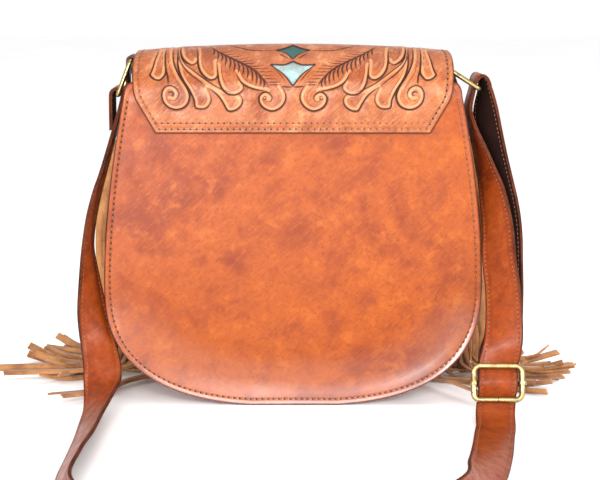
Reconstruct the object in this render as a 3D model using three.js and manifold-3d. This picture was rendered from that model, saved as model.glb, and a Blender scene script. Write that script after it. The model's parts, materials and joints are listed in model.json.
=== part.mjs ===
// A tooled leather crossbody bag with a suede fringe, an adjustable strap and brass rings.
// Millimetres, +Z up. The origin is the middle of the body's flat bottom.
// The plain back of the bag faces -Y, the fringed front faces +Y, and +X is to the right seen from the back.
import * as THREE from "three";
import { mergeVertices } from "three/addons/utils/BufferGeometryUtils.js";
import Module from "manifold-3d";

const wasm = await Module();
wasm.setup();

// Body
const HALF_WIDTH = 150.5; // widest half-width of the body
const WIDEST_Z = 99; // height at which the body is widest
const TOP_Z = 246; // top edge of both panels
const TOP_HALF = 132.6; // half-width of the top edge
const CROWN = 12.5; // rise of the panels above the gusset, leaning in under the flap
const CROWN_ROOM = 0.6; // further lean that keeps the crown off the flap
const CROWN_CORNER = [
  // share of CROWN, inward from TOP_HALF
  [0.5, 0.8],
  [0.86, 2.6],
  [1, 7],
];
const SIDE_BEND = 5 / 3; // how late the sides draw in towards the top
const ROUNDNESS = 2.6; // exponent of the round bottom: 2 is an ellipse, more is squarer
const BASE_HALF = 36; // half-length of the flat the body stands on
const DEPTH = 76; // outside to outside of the panels
const PANEL_T = 2.5;
const GUSSET_T = 2;
const GUSSET_INSET = 1; // the panels' edges stand this proud of the gusset
const FLANGE = 10;
const RIM_FLARE = 6; // how far the lower rim of a panel leans outward
const FLARE_FROM = 0.75; // share of the radius at which the flare starts
const FLARE_TOP_Z = 120; // no flare above this height
const CLEAR = 0.3; // gap between two pieces that touch

// Flap
const FLAP_T = 3;
const SPRING_DROP = 1; // from the panels' top edge down to where the flap's straight parts meet its arch
const FLAP_SPRING_Z = TOP_Z - SPRING_DROP;
const TAB_END_DROP = 27.5; // from the top edge down to the lower edge of the tab on the back
const TAB_END_Z = TOP_Z - TAB_END_DROP;
const TAB_END_HALF = 107.5;
const FLAP_HALF = 124; // half-width over the top
const FLAP_BULGE = 2; // extra half-width on the arch's shoulders
const FLAP_CAMBER = 5.3; // how much lower the arch is at its ends than in the middle
const FLAP_MARGIN = 3; // how far the front part stays inside the body's outline
const FLAP_FOOT_Z = 6; // lowest edge of the front part
const DIAMOND_HALF_X = 13.3;
const DIAMOND_HALF_Z = 11;
const DIAMOND_ANGLE = 64; // degrees up the arch from the back
const KITE_HALF_X = 17;
const KITE_HALF_Z = 10.5;
const KITE_ANGLE = 30;

// Hardware
const WIRE = 3.6; // ring wire diameter
const RING_LENGTH = 29; // between the centres of the ring's two bars
const RING_INSIDE = 32; // inside width along Y
const RING_CORNER = 3; // bend radius of the ring's wire
const TAB_WIDTH = 24;
const TAB_T = 2;
const TAB_LOW_DROP = 41; // from the top edge down to the ends of a ring's tab
const TAB_LOW_Z = TOP_Z - TAB_LOW_DROP;
// How far a ring's tab bar lies inside and above the end of the top edge, and its strap bar outside it.
const LEFT_IN = 4.1;
const LEFT_RISE = 27.5;
const LEFT_OUT = 6.5;
const RIGHT_IN = 9.6;
const RIGHT_RISE = 21;
const RIGHT_OUT = 14.9;
const LEFT_RING = { tabX: LEFT_IN - TOP_HALF, tabZ: TOP_Z + LEFT_RISE, strapX: -TOP_HALF - LEFT_OUT };
const RIGHT_RING = { tabX: TOP_HALF - RIGHT_IN, tabZ: TOP_Z + RIGHT_RISE, strapX: TOP_HALF + RIGHT_OUT };

// Strap
const STRAP_WIDTH = 30;
const STRAP_T = 2.8;
const STRAP_REACH = 390; // how far the loop lies out in front of the back
const TAIL_DROP = 27.5; // from the top edge down to the end of the folded tail at the left ring
const TAIL_Z = TOP_Z - TAIL_DROP;
const LEFT_FOLD = 4.7; // half the distance between the two layers at the left ring
const STRAP_STEP = 14; // length of one straight stretch of the strap's curve
const RIGHT_FOLD = 5;
const RIGHT_FOLD_RISE = 10;
const RIGHT_FOLD_TWIST = 0.2; // how far the back layer has turned to the viewer where it leaves the ring

// Slider
const SLIDER_ASIDE = 7.7; // from the body's widest place to the slider's middle
const SLIDER_SHARE = 3 / 13; // of STRAP_REACH, from the body to the slider's middle
const SLIDER = new THREE.Vector3(HALF_WIDTH + SLIDER_ASIDE, -SLIDER_SHARE * STRAP_REACH, 30.7);
const STRAP_SLANT = 0.06; // how far the strap runs aside for its way up through the slider
const SLIDER_LEAN = 15; // degrees that its top leans away from the viewer
const SLIDER_WIRE = 4.4;
const SLIDER_INSIDE = 33;
const SLIDER_BARS = 26; // between the centres of its top and bottom bars
const SLIDER_CORNER = 5;
const SLIDER_PLAY = 0.8; // between the strap and a bar that it passes behind
const CENTRE_BAR = 3;
const EYE_T = 1; // wall of the eyes by which the centre bar holds the frame's sides
const CENTRE_BAR_IN = -4.2; // the centre bar sits behind the frame

// Fringe
const STRIPS = 40;
const STRIP_LENGTH = 150;
const STRIP_WIDTH = 9;
const STRIP_T = 1.6;
const BAND_WIDTH = 12;
const BAND_T = 1.8;
const FRINGE_TOP_Z = 207;
const STRIP_REST_Z = 0.9; // centre height of a strip that lies on the table
const STRIP_LEAVE = 8; // how far a strip stands out from the edge before it falls
const STRIP_KNEE = 9; // length of the bend from hanging to lying
const STRIP_LAYERS = 8; // strips that hang beside each other lie in this many layers
const LAYER_STEP = 1.9;
const LAYER_STRAY = 0.25; // how far single strips lie off their layer
const HANG_LEAN = 0.1; // how far a hanging strip leans out, as a share of its fall
const SHORT_FALL = 20; // a strip with less to fall bends straight down to the table
const SHORT_REST = 36; // a strip with less length left over ends where it meets the table
const TIP_LIFT = 2.4; // how far the tips curl up off the table
const FAN_SPREAD = 120; // degrees from straight out of the front to the outermost strip
const FAN_SHARE = 0.72; // share of the half edge at which the fan is fully open
const FAN_BEND = 1.5; // how late the fan opens
const FAN_STRAY = 9; // degrees by which single strips depart from the fan
const LENGTH_STRAY = 0.06; // share by which strips differ in length
const SNAP_RADIUS = 9; // magnet between flap and front panel
const SNAP_Z = 62;

const LEATHER = { color: 0xb5622f, roughness: 0.45, metalness: 0 };
const DARK_LEATHER = { color: 0x6b3318, roughness: 0.6, metalness: 0 };
const SUEDE = { color: 0xa8673a, roughness: 0.95, metalness: 0 };
const BRASS = { color: 0x8a7440, roughness: 0.35, metalness: 1 };
const TEAL = { color: 0x1d6f6b, roughness: 0.6, metalness: 0 };
const TURQUOISE = { color: 0x9cc4bd, roughness: 0.6, metalness: 0 };

const V = (x, y, z) => new THREE.Vector3(x, y, z);
const clamp01 = (t) => Math.min(1, Math.max(0, t));
const smooth = (t) => clamp01(t) ** 2 * (3 - 2 * clamp01(t));
const lerp = THREE.MathUtils.lerp;
const rad = THREE.MathUtils.degToRad;

// A closed solid from a row of rings with equally many corners. Each ring goes out along one side and comes
// back along the other, so a ring's end is closed by the quads between corner i and corner n - 1 - i.
function loft(rings, closed = false) {
  const n = rings[0].length;
  const positions = rings.flatMap((ring) => ring.flatMap((p) => [p.x, p.y, p.z]));
  const index = [];
  const quad = (a, b, c, d) => index.push(a, b, c, a, c, d);
  const last = closed ? rings.length : rings.length - 1;
  for (let r = 0; r < last; r++) {
    const here = r * n;
    const next = ((r + 1) % rings.length) * n;
    for (let i = 0; i < n; i++) {
      const j = (i + 1) % n;
      quad(here + i, here + j, next + j, next + i);
    }
  }
  if (!closed) {
    const end = (rings.length - 1) * n;
    for (let i = 0; i < n / 2 - 1; i++) {
      quad(i, n - 1 - i, n - 2 - i, i + 1);
      quad(end + i, end + i + 1, end + n - 2 - i, end + n - 1 - i);
    }
  }
  return facingOut(positions, index);
}

// An indexed geometry whose triangles are turned round where they face inwards.
function facingOut(positions, index) {
  let volume = 0;
  const at = (i) => V(positions[3 * i], positions[3 * i + 1], positions[3 * i + 2]);
  for (let i = 0; i < index.length; i += 3) {
    volume += at(index[i]).dot(at(index[i + 1]).cross(at(index[i + 2])));
  }
  if (volume < 0) {
    index.reverse();
  }
  const geometry = new THREE.BufferGeometry();
  geometry.setAttribute("position", new THREE.Float32BufferAttribute(positions, 3));
  geometry.setIndex(index);
  return geometry;
}

function solid(geometry) {
  const bare = geometry.clone();
  bare.deleteAttribute("normal");
  bare.deleteAttribute("uv");
  const welded = mergeVertices(bare, 1e-4);
  return new wasm.Manifold(
    new wasm.Mesh({
      numProp: 3,
      vertProperties: new Float32Array(welded.attributes.position.array),
      triVerts: new Uint32Array(welded.index.array),
    }),
  );
}

function geometryOf(manifold) {
  const { vertProperties, triVerts } = manifold.getMesh();
  const geometry = new THREE.BufferGeometry();
  geometry.setAttribute("position", new THREE.BufferAttribute(new Float32Array(vertProperties), 3));
  geometry.setIndex(new THREE.BufferAttribute(new Uint32Array(triVerts), 1));
  return geometry;
}

// Body outline

// Half-width of the body at height z.
function bodyHalf(z) {
  if (z >= WIDEST_Z) {
    const rise = (z - WIDEST_Z) / (TOP_Z - WIDEST_Z);
    return HALF_WIDTH - (HALF_WIDTH - TOP_HALF) * rise ** SIDE_BEND;
  }
  const fall = (WIDEST_Z - z) / (WIDEST_Z + BASE_SAG);
  return HALF_WIDTH * (1 - fall ** ROUNDNESS) ** (1 / ROUNDNESS);
}

// How far the round bottom would dip below the table if it weren't flattened there.
const BASE_SAG = (() => {
  const lift = 1 - (1 - (BASE_HALF / HALF_WIDTH) ** ROUNDNESS) ** (1 / ROUNDNESS);
  return (WIDEST_Z * lift) / (1 - lift);
})();

// The body's outline from the left end of the top edge down, round the bottom and up to the right end.
function outline(sideSteps = 6, roundSteps = 16) {
  const right = [];
  for (let i = 0; i <= sideSteps; i++) {
    const z = lerp(TOP_Z, WIDEST_Z, i / sideSteps);
    right.push({ x: bodyHalf(z), z });
  }
  for (let i = 1; i <= roundSteps; i++) {
    const turn = (i / roundSteps) * (Math.PI / 2);
    const x = HALF_WIDTH * Math.cos(turn) ** (2 / ROUNDNESS);
    const z = WIDEST_Z - (WIDEST_Z + BASE_SAG) * Math.sin(turn) ** (2 / ROUNDNESS);
    if (z > 0) {
      right.push({ x, z });
    }
  }
  right.push({ x: BASE_HALF, z: 0 });
  const left = right.map((p) => ({ x: -p.x, z: p.z }));
  return [...left, ...right.reverse()];
}

// Outward normals in the XZ plane along an open outline.
function normals(points) {
  return points.map((p, i) => {
    const a = points[Math.max(0, i - 1)];
    const b = points[Math.min(points.length - 1, i + 1)];
    const length = Math.hypot(b.x - a.x, b.z - a.z);
    return { x: (b.z - a.z) / length, z: -(b.x - a.x) / length };
  });
}

const CENTRE = { x: 0, z: 0.48 * TOP_Z };

// How far a panel leans outward at a share of the way from its centre to a point of its outline.
function flare(share, rimZ) {
  const low = smooth((FLARE_TOP_Z - rimZ) / FLARE_TOP_Z);
  return RIM_FLARE * low * clamp01((share - FLARE_FROM) / (1 - FLARE_FROM)) ** 2;
}

// How far a panel's crown leans in at a point under the flap's arch.
function crownLean(x, z) {
  const rise = DEPTH / 2 + CLEAR - FLAP_CAMBER * (x / FLAP_HALF) ** 2;
  const share = Math.max(0, z - FLAP_SPRING_Z) / rise;
  return (DEPTH / 2) * (1 - Math.sqrt(1 - share ** 2)) + CROWN_ROOM * clamp01(4 * share);
}

// One panel: rings from the rim to the centre on both faces. Side is -1 for the back and 1 for the front.
function panel(side) {
  const rim = outline();
  const topSteps = 6;
  const corner = CROWN_CORNER.map(([share, inward]) => ({ x: TOP_HALF - inward, z: TOP_Z + share * CROWN }));
  const top = corner.at(-1);
  rim.push(...corner);
  for (let i = 1; i < topSteps; i++) {
    rim.push({ x: top.x * (1 - (2 * i) / topSteps), z: top.z });
  }
  rim.push(...corner.map((p) => ({ x: -p.x, z: p.z })).reverse());
  const shares = [1, 0.955, 0.9, FLARE_FROM];
  const positions = [];
  const index = [];
  const faces = [DEPTH / 2, DEPTH / 2 - PANEL_T];
  for (const face of faces) {
    for (const share of shares) {
      for (const p of rim) {
        const x = lerp(CENTRE.x, p.x, share);
        const z = lerp(CENTRE.z, p.z, share);
        positions.push(x, side * (face + flare(share, p.z) - crownLean(x, z)), z);
      }
    }
    positions.push(CENTRE.x, side * face, CENTRE.z);
  }
  const n = rim.length;
  const block = n * shares.length + 1;
  for (let f = 0; f < 2; f++) {
    for (let i = 0; i < n; i++) {
      const j = (i + 1) % n;
      for (let r = 0; r < shares.length - 1; r++) {
        const a = f * block + r * n;
        const b = a + n;
        const [far, near] = rim[j].x < 0 ? [b + i, a + j] : [b + j, a + i];
        const tri = [a + i, a + j, far, near, b + j, b + i];
        index.push(...(f ? tri.reverse() : tri));
      }
      const inner = f * block + (shares.length - 1) * n;
      const fan = [inner + i, inner + j, f * block + block - 1];
      index.push(...(f ? fan.reverse() : fan));
    }
  }
  for (let i = 0; i < n; i++) {
    const j = (i + 1) % n;
    index.push(j, i, block + i, j, block + i, block + j);
  }
  return facingOut(positions, index);
}

// The gusset: a channel along the outline, its two flanges lying on the panels' inner faces.
function gusset() {
  const rim = outline();
  const out = normals(rim);
  const rings = rim.map((p, i) => {
    const reach = Math.hypot(p.x - CENTRE.x, p.z - CENTRE.z);
    const level = (inset) => {
      const share = 1 - inset / reach;
      return DEPTH / 2 - PANEL_T - CLEAR + flare(share, p.z);
    };
    const at = (inset, y) => V(p.x - inset * out[i].x, y, Math.max(p.z - inset * out[i].z, p.z === 0 ? inset : 0));
    const web = p.z === 0 ? 0 : GUSSET_INSET;
    const tip = web + FLANGE;
    const inside = web + GUSSET_T;
    return [
      at(tip, -level(tip)),
      at(web, -level(web)),
      at(web, level(web)),
      at(tip, level(tip)),
      at(tip, level(tip) - GUSSET_T),
      at(inside, level(inside) - GUSSET_T),
      at(inside, GUSSET_T - level(inside)),
      at(tip, GUSSET_T - level(tip)),
    ];
  });
  return loft(rings);
}

// Flap

// The flap's section rows from the tab's edge over the top to the front's lowest edge: a point of the inner
// face at half-width share u, its direction outward, and the row's half-width.
function flapRows() {
  const inner = DEPTH / 2 + CLEAR;
  const rows = [];
  const straight = (y, z, half) => ({
    half,
    at: (x, lift) => V(x, y + Math.sign(y) * lift, z),
  });
  const arch = (turn, half) => ({
    half,
    at: (x, lift) => {
      const rise = inner - FLAP_CAMBER * (x / FLAP_HALF) ** 2;
      const y = -(inner + lift) * Math.cos(turn);
      return V(x, y, FLAP_SPRING_Z + (rise + lift) * Math.sin(turn));
    },
  });
  for (const share of [0, 0.5]) {
    const half = lerp(TAB_END_HALF, FLAP_HALF - 1, share);
    rows.push(straight(-inner, lerp(TAB_END_Z, FLAP_SPRING_Z, share), half));
  }
  const archSteps = 12;
  for (let i = 0; i <= archSteps; i++) {
    const turn = (i / archSteps) * Math.PI;
    const bulge = FLAP_BULGE * Math.abs(Math.sin(2 * turn));
    rows.push(arch(turn, FLAP_HALF - (i === 0 ? 1 : 0) + bulge));
  }
  const frontSteps = 15;
  for (let i = 1; i <= frontSteps; i++) {
    const fall = Math.sin(((i / frontSteps) * Math.PI) / 2);
    const z = lerp(FLAP_SPRING_Z, FLAP_FOOT_Z, fall);
    const widening = smooth((FLAP_SPRING_Z - z) / (FLAP_SPRING_Z - FRINGE_TOP_Z));
    const half = lerp(FLAP_HALF, bodyHalf(z - FLAP_MARGIN) - FLAP_MARGIN, widening);
    rows.push(straight(inner + frontBulge(z), z, half));
  }
  return rows;
}

// The flap's front stands off the panel by the fringe's backing band and the panel's flare.
function frontBulge(z) {
  const low = smooth((FLAP_SPRING_Z - z) / (FLAP_SPRING_Z - FRINGE_TOP_Z - BAND_WIDTH));
  return (RIM_FLARE + BAND_T + CLEAR) * low;
}

function flapSolid() {
  const across = 12;
  const rings = flapRows().map(({ half, at }) => {
    const outer = [];
    const under = [];
    for (let i = 0; i <= across; i++) {
      const x = half * ((2 * i) / across - 1);
      outer.push(at(x, FLAP_T));
      under.push(at(x, 0));
    }
    return [...outer, ...under.reverse()];
  });
  return solid(loft(rings));
}

// A window or an inlay: a pointed figure with hollow sides, pushed through the flap along the arch's normal.
// Corners are shares of its two half-sizes, and shrink takes the clearance off all round.
function pointedFigure(corners, halfX, halfZ, angle, shrink) {
  const hollow = 0.8;
  const shape = new THREE.Shape();
  const reach = (half, share) => (half - shrink / Math.SQRT1_2) * share;
  corners.forEach(([u, v], i) => {
    const [nextU, nextV] = corners[(i + 1) % corners.length];
    if (i === 0) {
      shape.moveTo(reach(halfX, u), reach(halfZ, v));
    }
    const mid = [((u + nextU) / 2) * hollow, ((v + nextV) / 2) * hollow];
    shape.lineTo(reach(halfX, mid[0]), reach(halfZ, mid[1]));
    shape.lineTo(reach(halfX, nextU), reach(halfZ, nextV));
  });
  const depth = 5 * FLAP_T;
  const prism = new THREE.ExtrudeGeometry(shape, { depth, bevelEnabled: false });
  prism.translate(0, 0, DEPTH / 2 - depth / 2);
  prism.rotateX(Math.PI / 2 - rad(angle));
  prism.translate(0, 0, FLAP_SPRING_Z);
  return solid(prism);
}

const DIAMOND = [[1, 0], [0, 1], [-1, 0], [0, -1]];
const KITE = [[1, 0.7], [0, 1], [-1, 0.7], [0, -1]];

// Wire

// A closed rounded rectangle of wire in its own XY plane.
function wireLoop(width, height, corner, wire, sides = 8) {
  const path = new THREE.CurvePath();
  const w = width / 2;
  const h = height / 2;
  const k = corner * (1 - Math.SQRT1_2);
  const ends = [
    [V(w - corner, h, 0), V(w - k, h - k, 0), V(w, h - corner, 0)],
    [V(w, corner - h, 0), V(w - k, k - h, 0), V(w - corner, -h, 0)],
    [V(corner - w, -h, 0), V(k - w, k - h, 0), V(-w, corner - h, 0)],
    [V(-w, h - corner, 0), V(k - w, h - k, 0), V(corner - w, h, 0)],
  ];
  const points = ends.flat();
  const rings = points.map((p, i) => {
    const before = points[(i + points.length - 1) % points.length];
    const after = points[(i + 1) % points.length];
    const along = after.clone().sub(before).normalize();
    const aside = along.clone().cross(V(0, 0, 1));
    return circle(p, aside, V(0, 0, 1), wire / 2, sides);
  });
  return loft(rings, true);
}

function circle(centre, a, b, radius, sides) {
  const ring = [];
  for (let i = 0; i < sides; i++) {
    const turn = (2 * Math.PI * (i + 0.5)) / sides;
    ring.push(
      centre.clone().addScaledVector(a, radius * Math.cos(turn)).addScaledVector(b, radius * Math.sin(turn)),
    );
  }
  return ring;
}

// Where the ring's strap bar lies, from its tab bar and its length.
function strapBarZ({ tabX, tabZ, strapX }) {
  return tabZ - Math.sqrt(RING_LENGTH ** 2 - (strapX - tabX) ** 2);
}

function ring(place) {
  const strapZ = strapBarZ(place);
  const geometry = wireLoop(RING_LENGTH, RING_INSIDE + WIRE, RING_CORNER, WIRE);
  const along = V(place.strapX - place.tabX, 0, strapZ - place.tabZ).normalize();
  const across = V(0, 1, 0);
  const basis = new THREE.Matrix4().makeBasis(along, across, along.clone().cross(across));
  geometry.applyMatrix4(basis);
  return geometry.translate((place.tabX + place.strapX) / 2, 0, (place.tabZ + strapZ) / 2);
}

// Bands

// A flat band: stations hold a centre and the direction of its width, and route order gives its length.
function band(stations, width, thickness) {
  const rings = stations.map(({ at, wide }, i) => {
    const before = stations[Math.max(0, i - 1)].at;
    const after = stations[Math.min(stations.length - 1, i + 1)].at;
    const along = after.clone().sub(before).normalize();
    const w = wide.clone().addScaledVector(along, -wide.dot(along)).normalize();
    const thick = along.clone().cross(w);
    const corner = (a, b) =>
      at.clone().addScaledVector(w, (a * width) / 2).addScaledVector(thick, (b * thickness) / 2);
    return [corner(-1, 1), corner(1, 1), corner(1, -1), corner(-1, -1)];
  });
  return loft(rings);
}

// A tab: up the gusset's outer face, over the ring's bar and down the gusset's inner face.
function ringTab(place) {
  const side = Math.sign(place.tabX);
  const gap = TAB_T / 2 + CLEAR;
  const outerFace = (z) => side * (bodyHalf(z) - GUSSET_INSET + gap);
  const innerFace = (z) => side * (bodyHalf(z) - GUSSET_INSET - GUSSET_T - gap);
  const wide = V(0, 1, 0);
  const stations = [TAB_LOW_Z, lerp(TAB_LOW_Z, TOP_Z, 0.5), TOP_Z].map((z) => ({ at: V(outerFace(z), 0, z), wide }));
  const turnRadius = WIRE / 2 + gap;
  const steps = 6;
  for (let i = 0; i <= steps; i++) {
    const turn = (i / steps) * Math.PI;
    const x = place.tabX + side * turnRadius * Math.cos(turn);
    stations.push({ at: V(x, 0, place.tabZ + turnRadius * Math.sin(turn)), wide });
  }
  for (const share of [0, 0.5]) {
    const z = lerp(TOP_Z, TAB_LOW_Z, share);
    stations.push({ at: V(innerFace(z), 0, z), wide });
  }
  return band(stations, TAB_WIDTH, TAB_T);
}

// Strap

// A point in the slider's own frame: t up along the strap, n out towards the viewer.
function inSlider(t, n, x = 0) {
  const lean = rad(SLIDER_LEAN);
  return V(
    SLIDER.x + x,
    SLIDER.y + t * Math.sin(lean) - n * Math.cos(lean),
    SLIDER.z + t * Math.cos(lean) + n * Math.sin(lean),
  );
}

// The fold over a ring's bar, from the leg at fromX over the top to the leg at toX.
function foldOver(fromX, toX, footZ, rise, fromWide, toWide = fromWide) {
  const steps = 8;
  const fold = [];
  for (let i = 0; i <= steps; i++) {
    const turn = (i / steps) * Math.PI;
    const x = lerp(fromX, toX, (1 - Math.cos(turn)) / 2);
    const wide = fromWide.clone().lerp(toWide, i / steps);
    fold.push({ at: V(x, 0, footZ + rise * Math.sin(turn)), wide });
  }
  return fold;
}

// Stations of the strap, chosen by hand.
// across, out, up: centre as shares of HALF_WIDTH, STRAP_REACH and TOP_Z.
// wx, wy, wz: direction of the strap's width, from its left edge to its right edge as worn on the right.
const BACK_LAYER = [
  // across, out, up, wx, wy, wz
  [1.083, -0.185, 0.24, 0.94, -0.34, 0],
  [1.108, -0.149, 0.374, 0.81, -0.59, 0],
  [1.118, -0.113, 0.48, 0.74, -0.67, 0],
  [1.128, -0.085, 0.565, 0.64, -0.77, 0],
  [1.122, -0.059, 0.65, 0.56, -0.83, 0],
  [1.097, -0.038, 0.732, 0.56, -0.83, 0],
  [1.064, -0.023, 0.821, 0.58, -0.81, 0],
  [1.028, -0.008, 0.939, 0.55, -0.84, 0],
];
const FRONT_LAYER = [
  [0.934, -0.006, 0.955, 0.05, -1, 0],
  [0.951, -0.015, 0.902, 0.08, -1, 0],
  [0.992, -0.031, 0.821, 0.25, -0.97, 0],
  [1.031, -0.053, 0.736, 0.42, -0.91, 0],
  [1.053, -0.072, 0.679, 0.54, -0.84, 0],
  [1.073, -0.102, 0.585, 0.66, -0.76, 0],
  [1.075, -0.136, 0.488, 0.74, -0.67, 0],
  [1.088, -0.161, 0.407, 0.79, -0.61, 0],
  [1.09, -0.182, 0.337, 0.85, -0.53, 0],
  [1.082, -0.208, 0.247, 0.95, -0.31, 0],
];
const FLOOR_LOOP = [
  [1.037, -0.244, 0.036, 1, 0, -0.03],
  [1.025, -0.295, 0.0125, 1, 0, -0.05],
  [1.003, -0.346, 0.0135, 0.99, 0, -0.1],
  [0.95, -0.482, 0.0264, 0.95, 0, -0.3],
  [0.877, -0.631, 0.0435, 0.8, 0, -0.6],
  [0.765, -0.79, 0.0605, 0.35, 0.1, -0.93],
  [0.498, -0.91, 0.0632, 0, 0, -1],
  [0.066, -0.99, 0.0632, 0, 0, -1],
  [-0.399, -0.982, 0.0632, 0, 0, -1],
  [-0.784, -0.903, 0.0632, 0, 0, -1],
  [-0.975, -0.79, 0.0596, -0.4, 0, -0.92],
  [-1.013, -0.615, 0.054, -0.59, 0, -0.81],
  [-1.007, -0.487, 0.0502, -0.68, 0, -0.74],
  [-1.006, -0.359, 0.048, -0.71, 0, -0.7],
  [-1.009, -0.269, 0.0455, -0.77, 0, -0.64],
];
const LEFT_LEG = [
  [-1.0, -0.21, 0.063, -0.8, -0.1, -0.58],
  [-0.998, -0.174, 0.09, -0.87, -0.15, -0.42],
  [-1.002, -0.146, 0.13, -0.93, -0.31, -0.15],
  [-1.024, -0.115, 0.183, -0.88, -0.47, 0],
  [-1.047, -0.102, 0.244, -0.8, -0.6, 0],
  [-1.066, -0.1, 0.313, -0.65, -0.76, 0],
  [-1.077, -0.097, 0.411, -0.39, -0.92, 0],
  [-1.083, -0.088, 0.516, -0.14, -0.99, 0],
  [-1.068, -0.067, 0.61, -0.1, -0.99, 0],
  [-1.044, -0.051, 0.679, -0.09, -1, 0],
  [-1.01, -0.036, 0.752, -0.04, -1, 0],
  [-0.967, -0.018, 0.85, 0, -1, 0],
];

const station = ([across, out, up, wx, wy, wz]) => ({
  at: V(across * HALF_WIDTH, out * STRAP_REACH, up * TOP_Z),
  wide: V(wx, wy, wz),
});

// The strap's way through the slider, in shares: up along the strap, of SLIDER_BARS, and out towards the
// viewer, of the room that the strap needs behind a bar of the frame.
const WEAVE = [
  // up, out
  [0.5, -1],
  [0.385, -0.79],
  [0.277, -0.24],
  [0.138, 0.31],
  [0, 0.62],
];

function strapRoute() {
  const right = V(1, 0, 0);
  const toViewer = V(0, -1, 0);
  const half = STRAP_T / 2;
  const hug = WIRE / 2 + CLEAR + half;
  const turn = CENTRE_BAR / 2 + CLEAR + half;
  const layerStep = STRAP_T + CLEAR;
  const pass = SLIDER_WIRE / 2 + SLIDER_PLAY + half;
  const behind = -pass - layerStep - CLEAR;
  const sewn = behind - layerStep;
  const bar = CENTRE_BAR_IN;
  const up = (share) => share * SLIDER_BARS;
  const loop = [];
  for (let angle = 0; angle <= 180; angle += 30) {
    loop.push([-turn * Math.sin(rad(angle)), bar - turn * Math.cos(rad(angle))]);
  }
  const weave = WEAVE.map(([t, n]) => [up(t), n * pass]);
  const weaveBack = weave.slice(0, -1).map(([t, n]) => [-t, n]).reverse();
  const inFrame = (rows) => rows.map(([t, n]) => inSlider(t, n, STRAP_SLANT * t));
  const flat = (points, wide) => points.map((at) => ({ at, wide }));
  const rightInner = RIGHT_RING.strapX - hug;
  const rightZ = strapBarZ(RIGHT_RING);
  const leftInner = LEFT_RING.strapX + hug;
  const leftOuter = leftInner - 2 * LEFT_FOLD;
  const leftZ = strapBarZ(LEFT_RING);
  const aroundBar = [
    [up(1), sewn],
    [up(0.54), sewn],
    [up(0.23), sewn + turn / 3],
    ...loop,
    [up(0.19), bar + turn / 4],
    [up(0.385), behind + half],
    [up(0.54), behind],
    [up(0.85), behind],
  ];
  return [
    ...flat(inFrame(aroundBar), right),
    ...BACK_LAYER.map(station),
    ...foldOver(rightInner + 2 * RIGHT_FOLD, rightInner, rightZ, RIGHT_FOLD_RISE, V(RIGHT_FOLD_TWIST, -1, 0), toViewer),
    ...FRONT_LAYER.map(station),
    ...flat(inFrame([...weave, ...weaveBack]), right),
    ...FLOOR_LOOP.map(station),
    ...LEFT_LEG.map(station),
    ...foldOver(leftInner, leftOuter, leftZ, LEFT_FOLD, toViewer),
    { at: V(leftOuter - CLEAR, 0, TAIL_Z), wide: toViewer },
  ];
}

// Smooth stations through the chosen ones, spaced evenly enough that the bends stay round.
function smoothStations(stations, each) {
  const route = new THREE.CatmullRomCurve3(stations.map((s) => s.at), false, "centripetal");
  const widths = new THREE.CatmullRomCurve3(stations.map((s) => s.wide), false, "centripetal");
  const fine = [];
  for (let i = 0; i < stations.length - 1; i++) {
    const gap = stations[i].at.distanceTo(stations[i + 1].at);
    const parts = Math.max(1, Math.round(gap / each));
    for (let j = 0; j < parts; j++) {
      const t = (i + j / parts) / (stations.length - 1);
      fine.push({ at: route.getPoint(t), wide: widths.getPoint(t).normalize() });
    }
  }
  fine.push(stations[stations.length - 1]);
  return fine;
}

// Slider

function sliderFrame() {
  const geometry = wireLoop(SLIDER_INSIDE + SLIDER_WIRE, SLIDER_BARS, SLIDER_CORNER, SLIDER_WIRE);
  geometry.rotateX(Math.PI / 2 - rad(SLIDER_LEAN));
  return geometry.translate(SLIDER.x, SLIDER.y, SLIDER.z);
}

// The centre bar: a straight pin behind the frame with an eye round each side wire.
function sliderBar() {
  const half = (SLIDER_INSIDE + SLIDER_WIRE) / 2;
  const bar = new THREE.CylinderGeometry(CENTRE_BAR / 2, CENTRE_BAR / 2, 2 * half, 8);
  bar.rotateZ(Math.PI / 2);
  const place = (geometry, x, n) => {
    geometry.rotateX(-rad(SLIDER_LEAN));
    const at = inSlider(0, n, x);
    return solid(geometry.translate(at.x, at.y, at.z));
  };
  const eye = () => {
    const inner = SLIDER_WIRE / 2 + CLEAR;
    const outer = inner + EYE_T;
    const wide = CENTRE_BAR / 2;
    const profile = [[inner, -wide], [outer, -wide], [outer, wide], [inner, wide], [inner, -wide]];
    const around = new THREE.LatheGeometry(profile.map(([r, y]) => new THREE.Vector2(r, y)), 12);
    return around.rotateX(Math.PI / 2);
  };
  return geometryOf(
    place(bar, 0, CENTRE_BAR_IN).add(place(eye(), -half, 0)).add(place(eye(), half, 0)),
  );
}

// Fringe

// A steady value from -1 to 1 for strip i, so that no two strips fall alike.
const stray = (i, k) => Math.sin(12.9898 * (i + 1) + 78.233 * k);

// Points of the flap's lower edge, from the left fringe end round the bottom to the right one.
function fringeEdge() {
  const rim = outline(10, 20).filter((p) => p.z < FRINGE_TOP_Z);
  const out = normals(rim);
  return rim.map((p, i) => ({
    x: p.x - FLAP_MARGIN * out[i].x,
    z: p.z - FLAP_MARGIN * out[i].z + (p.z === 0 ? FLAP_FOOT_Z - FLAP_MARGIN : 0),
    out: out[i],
  }));
}

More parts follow.
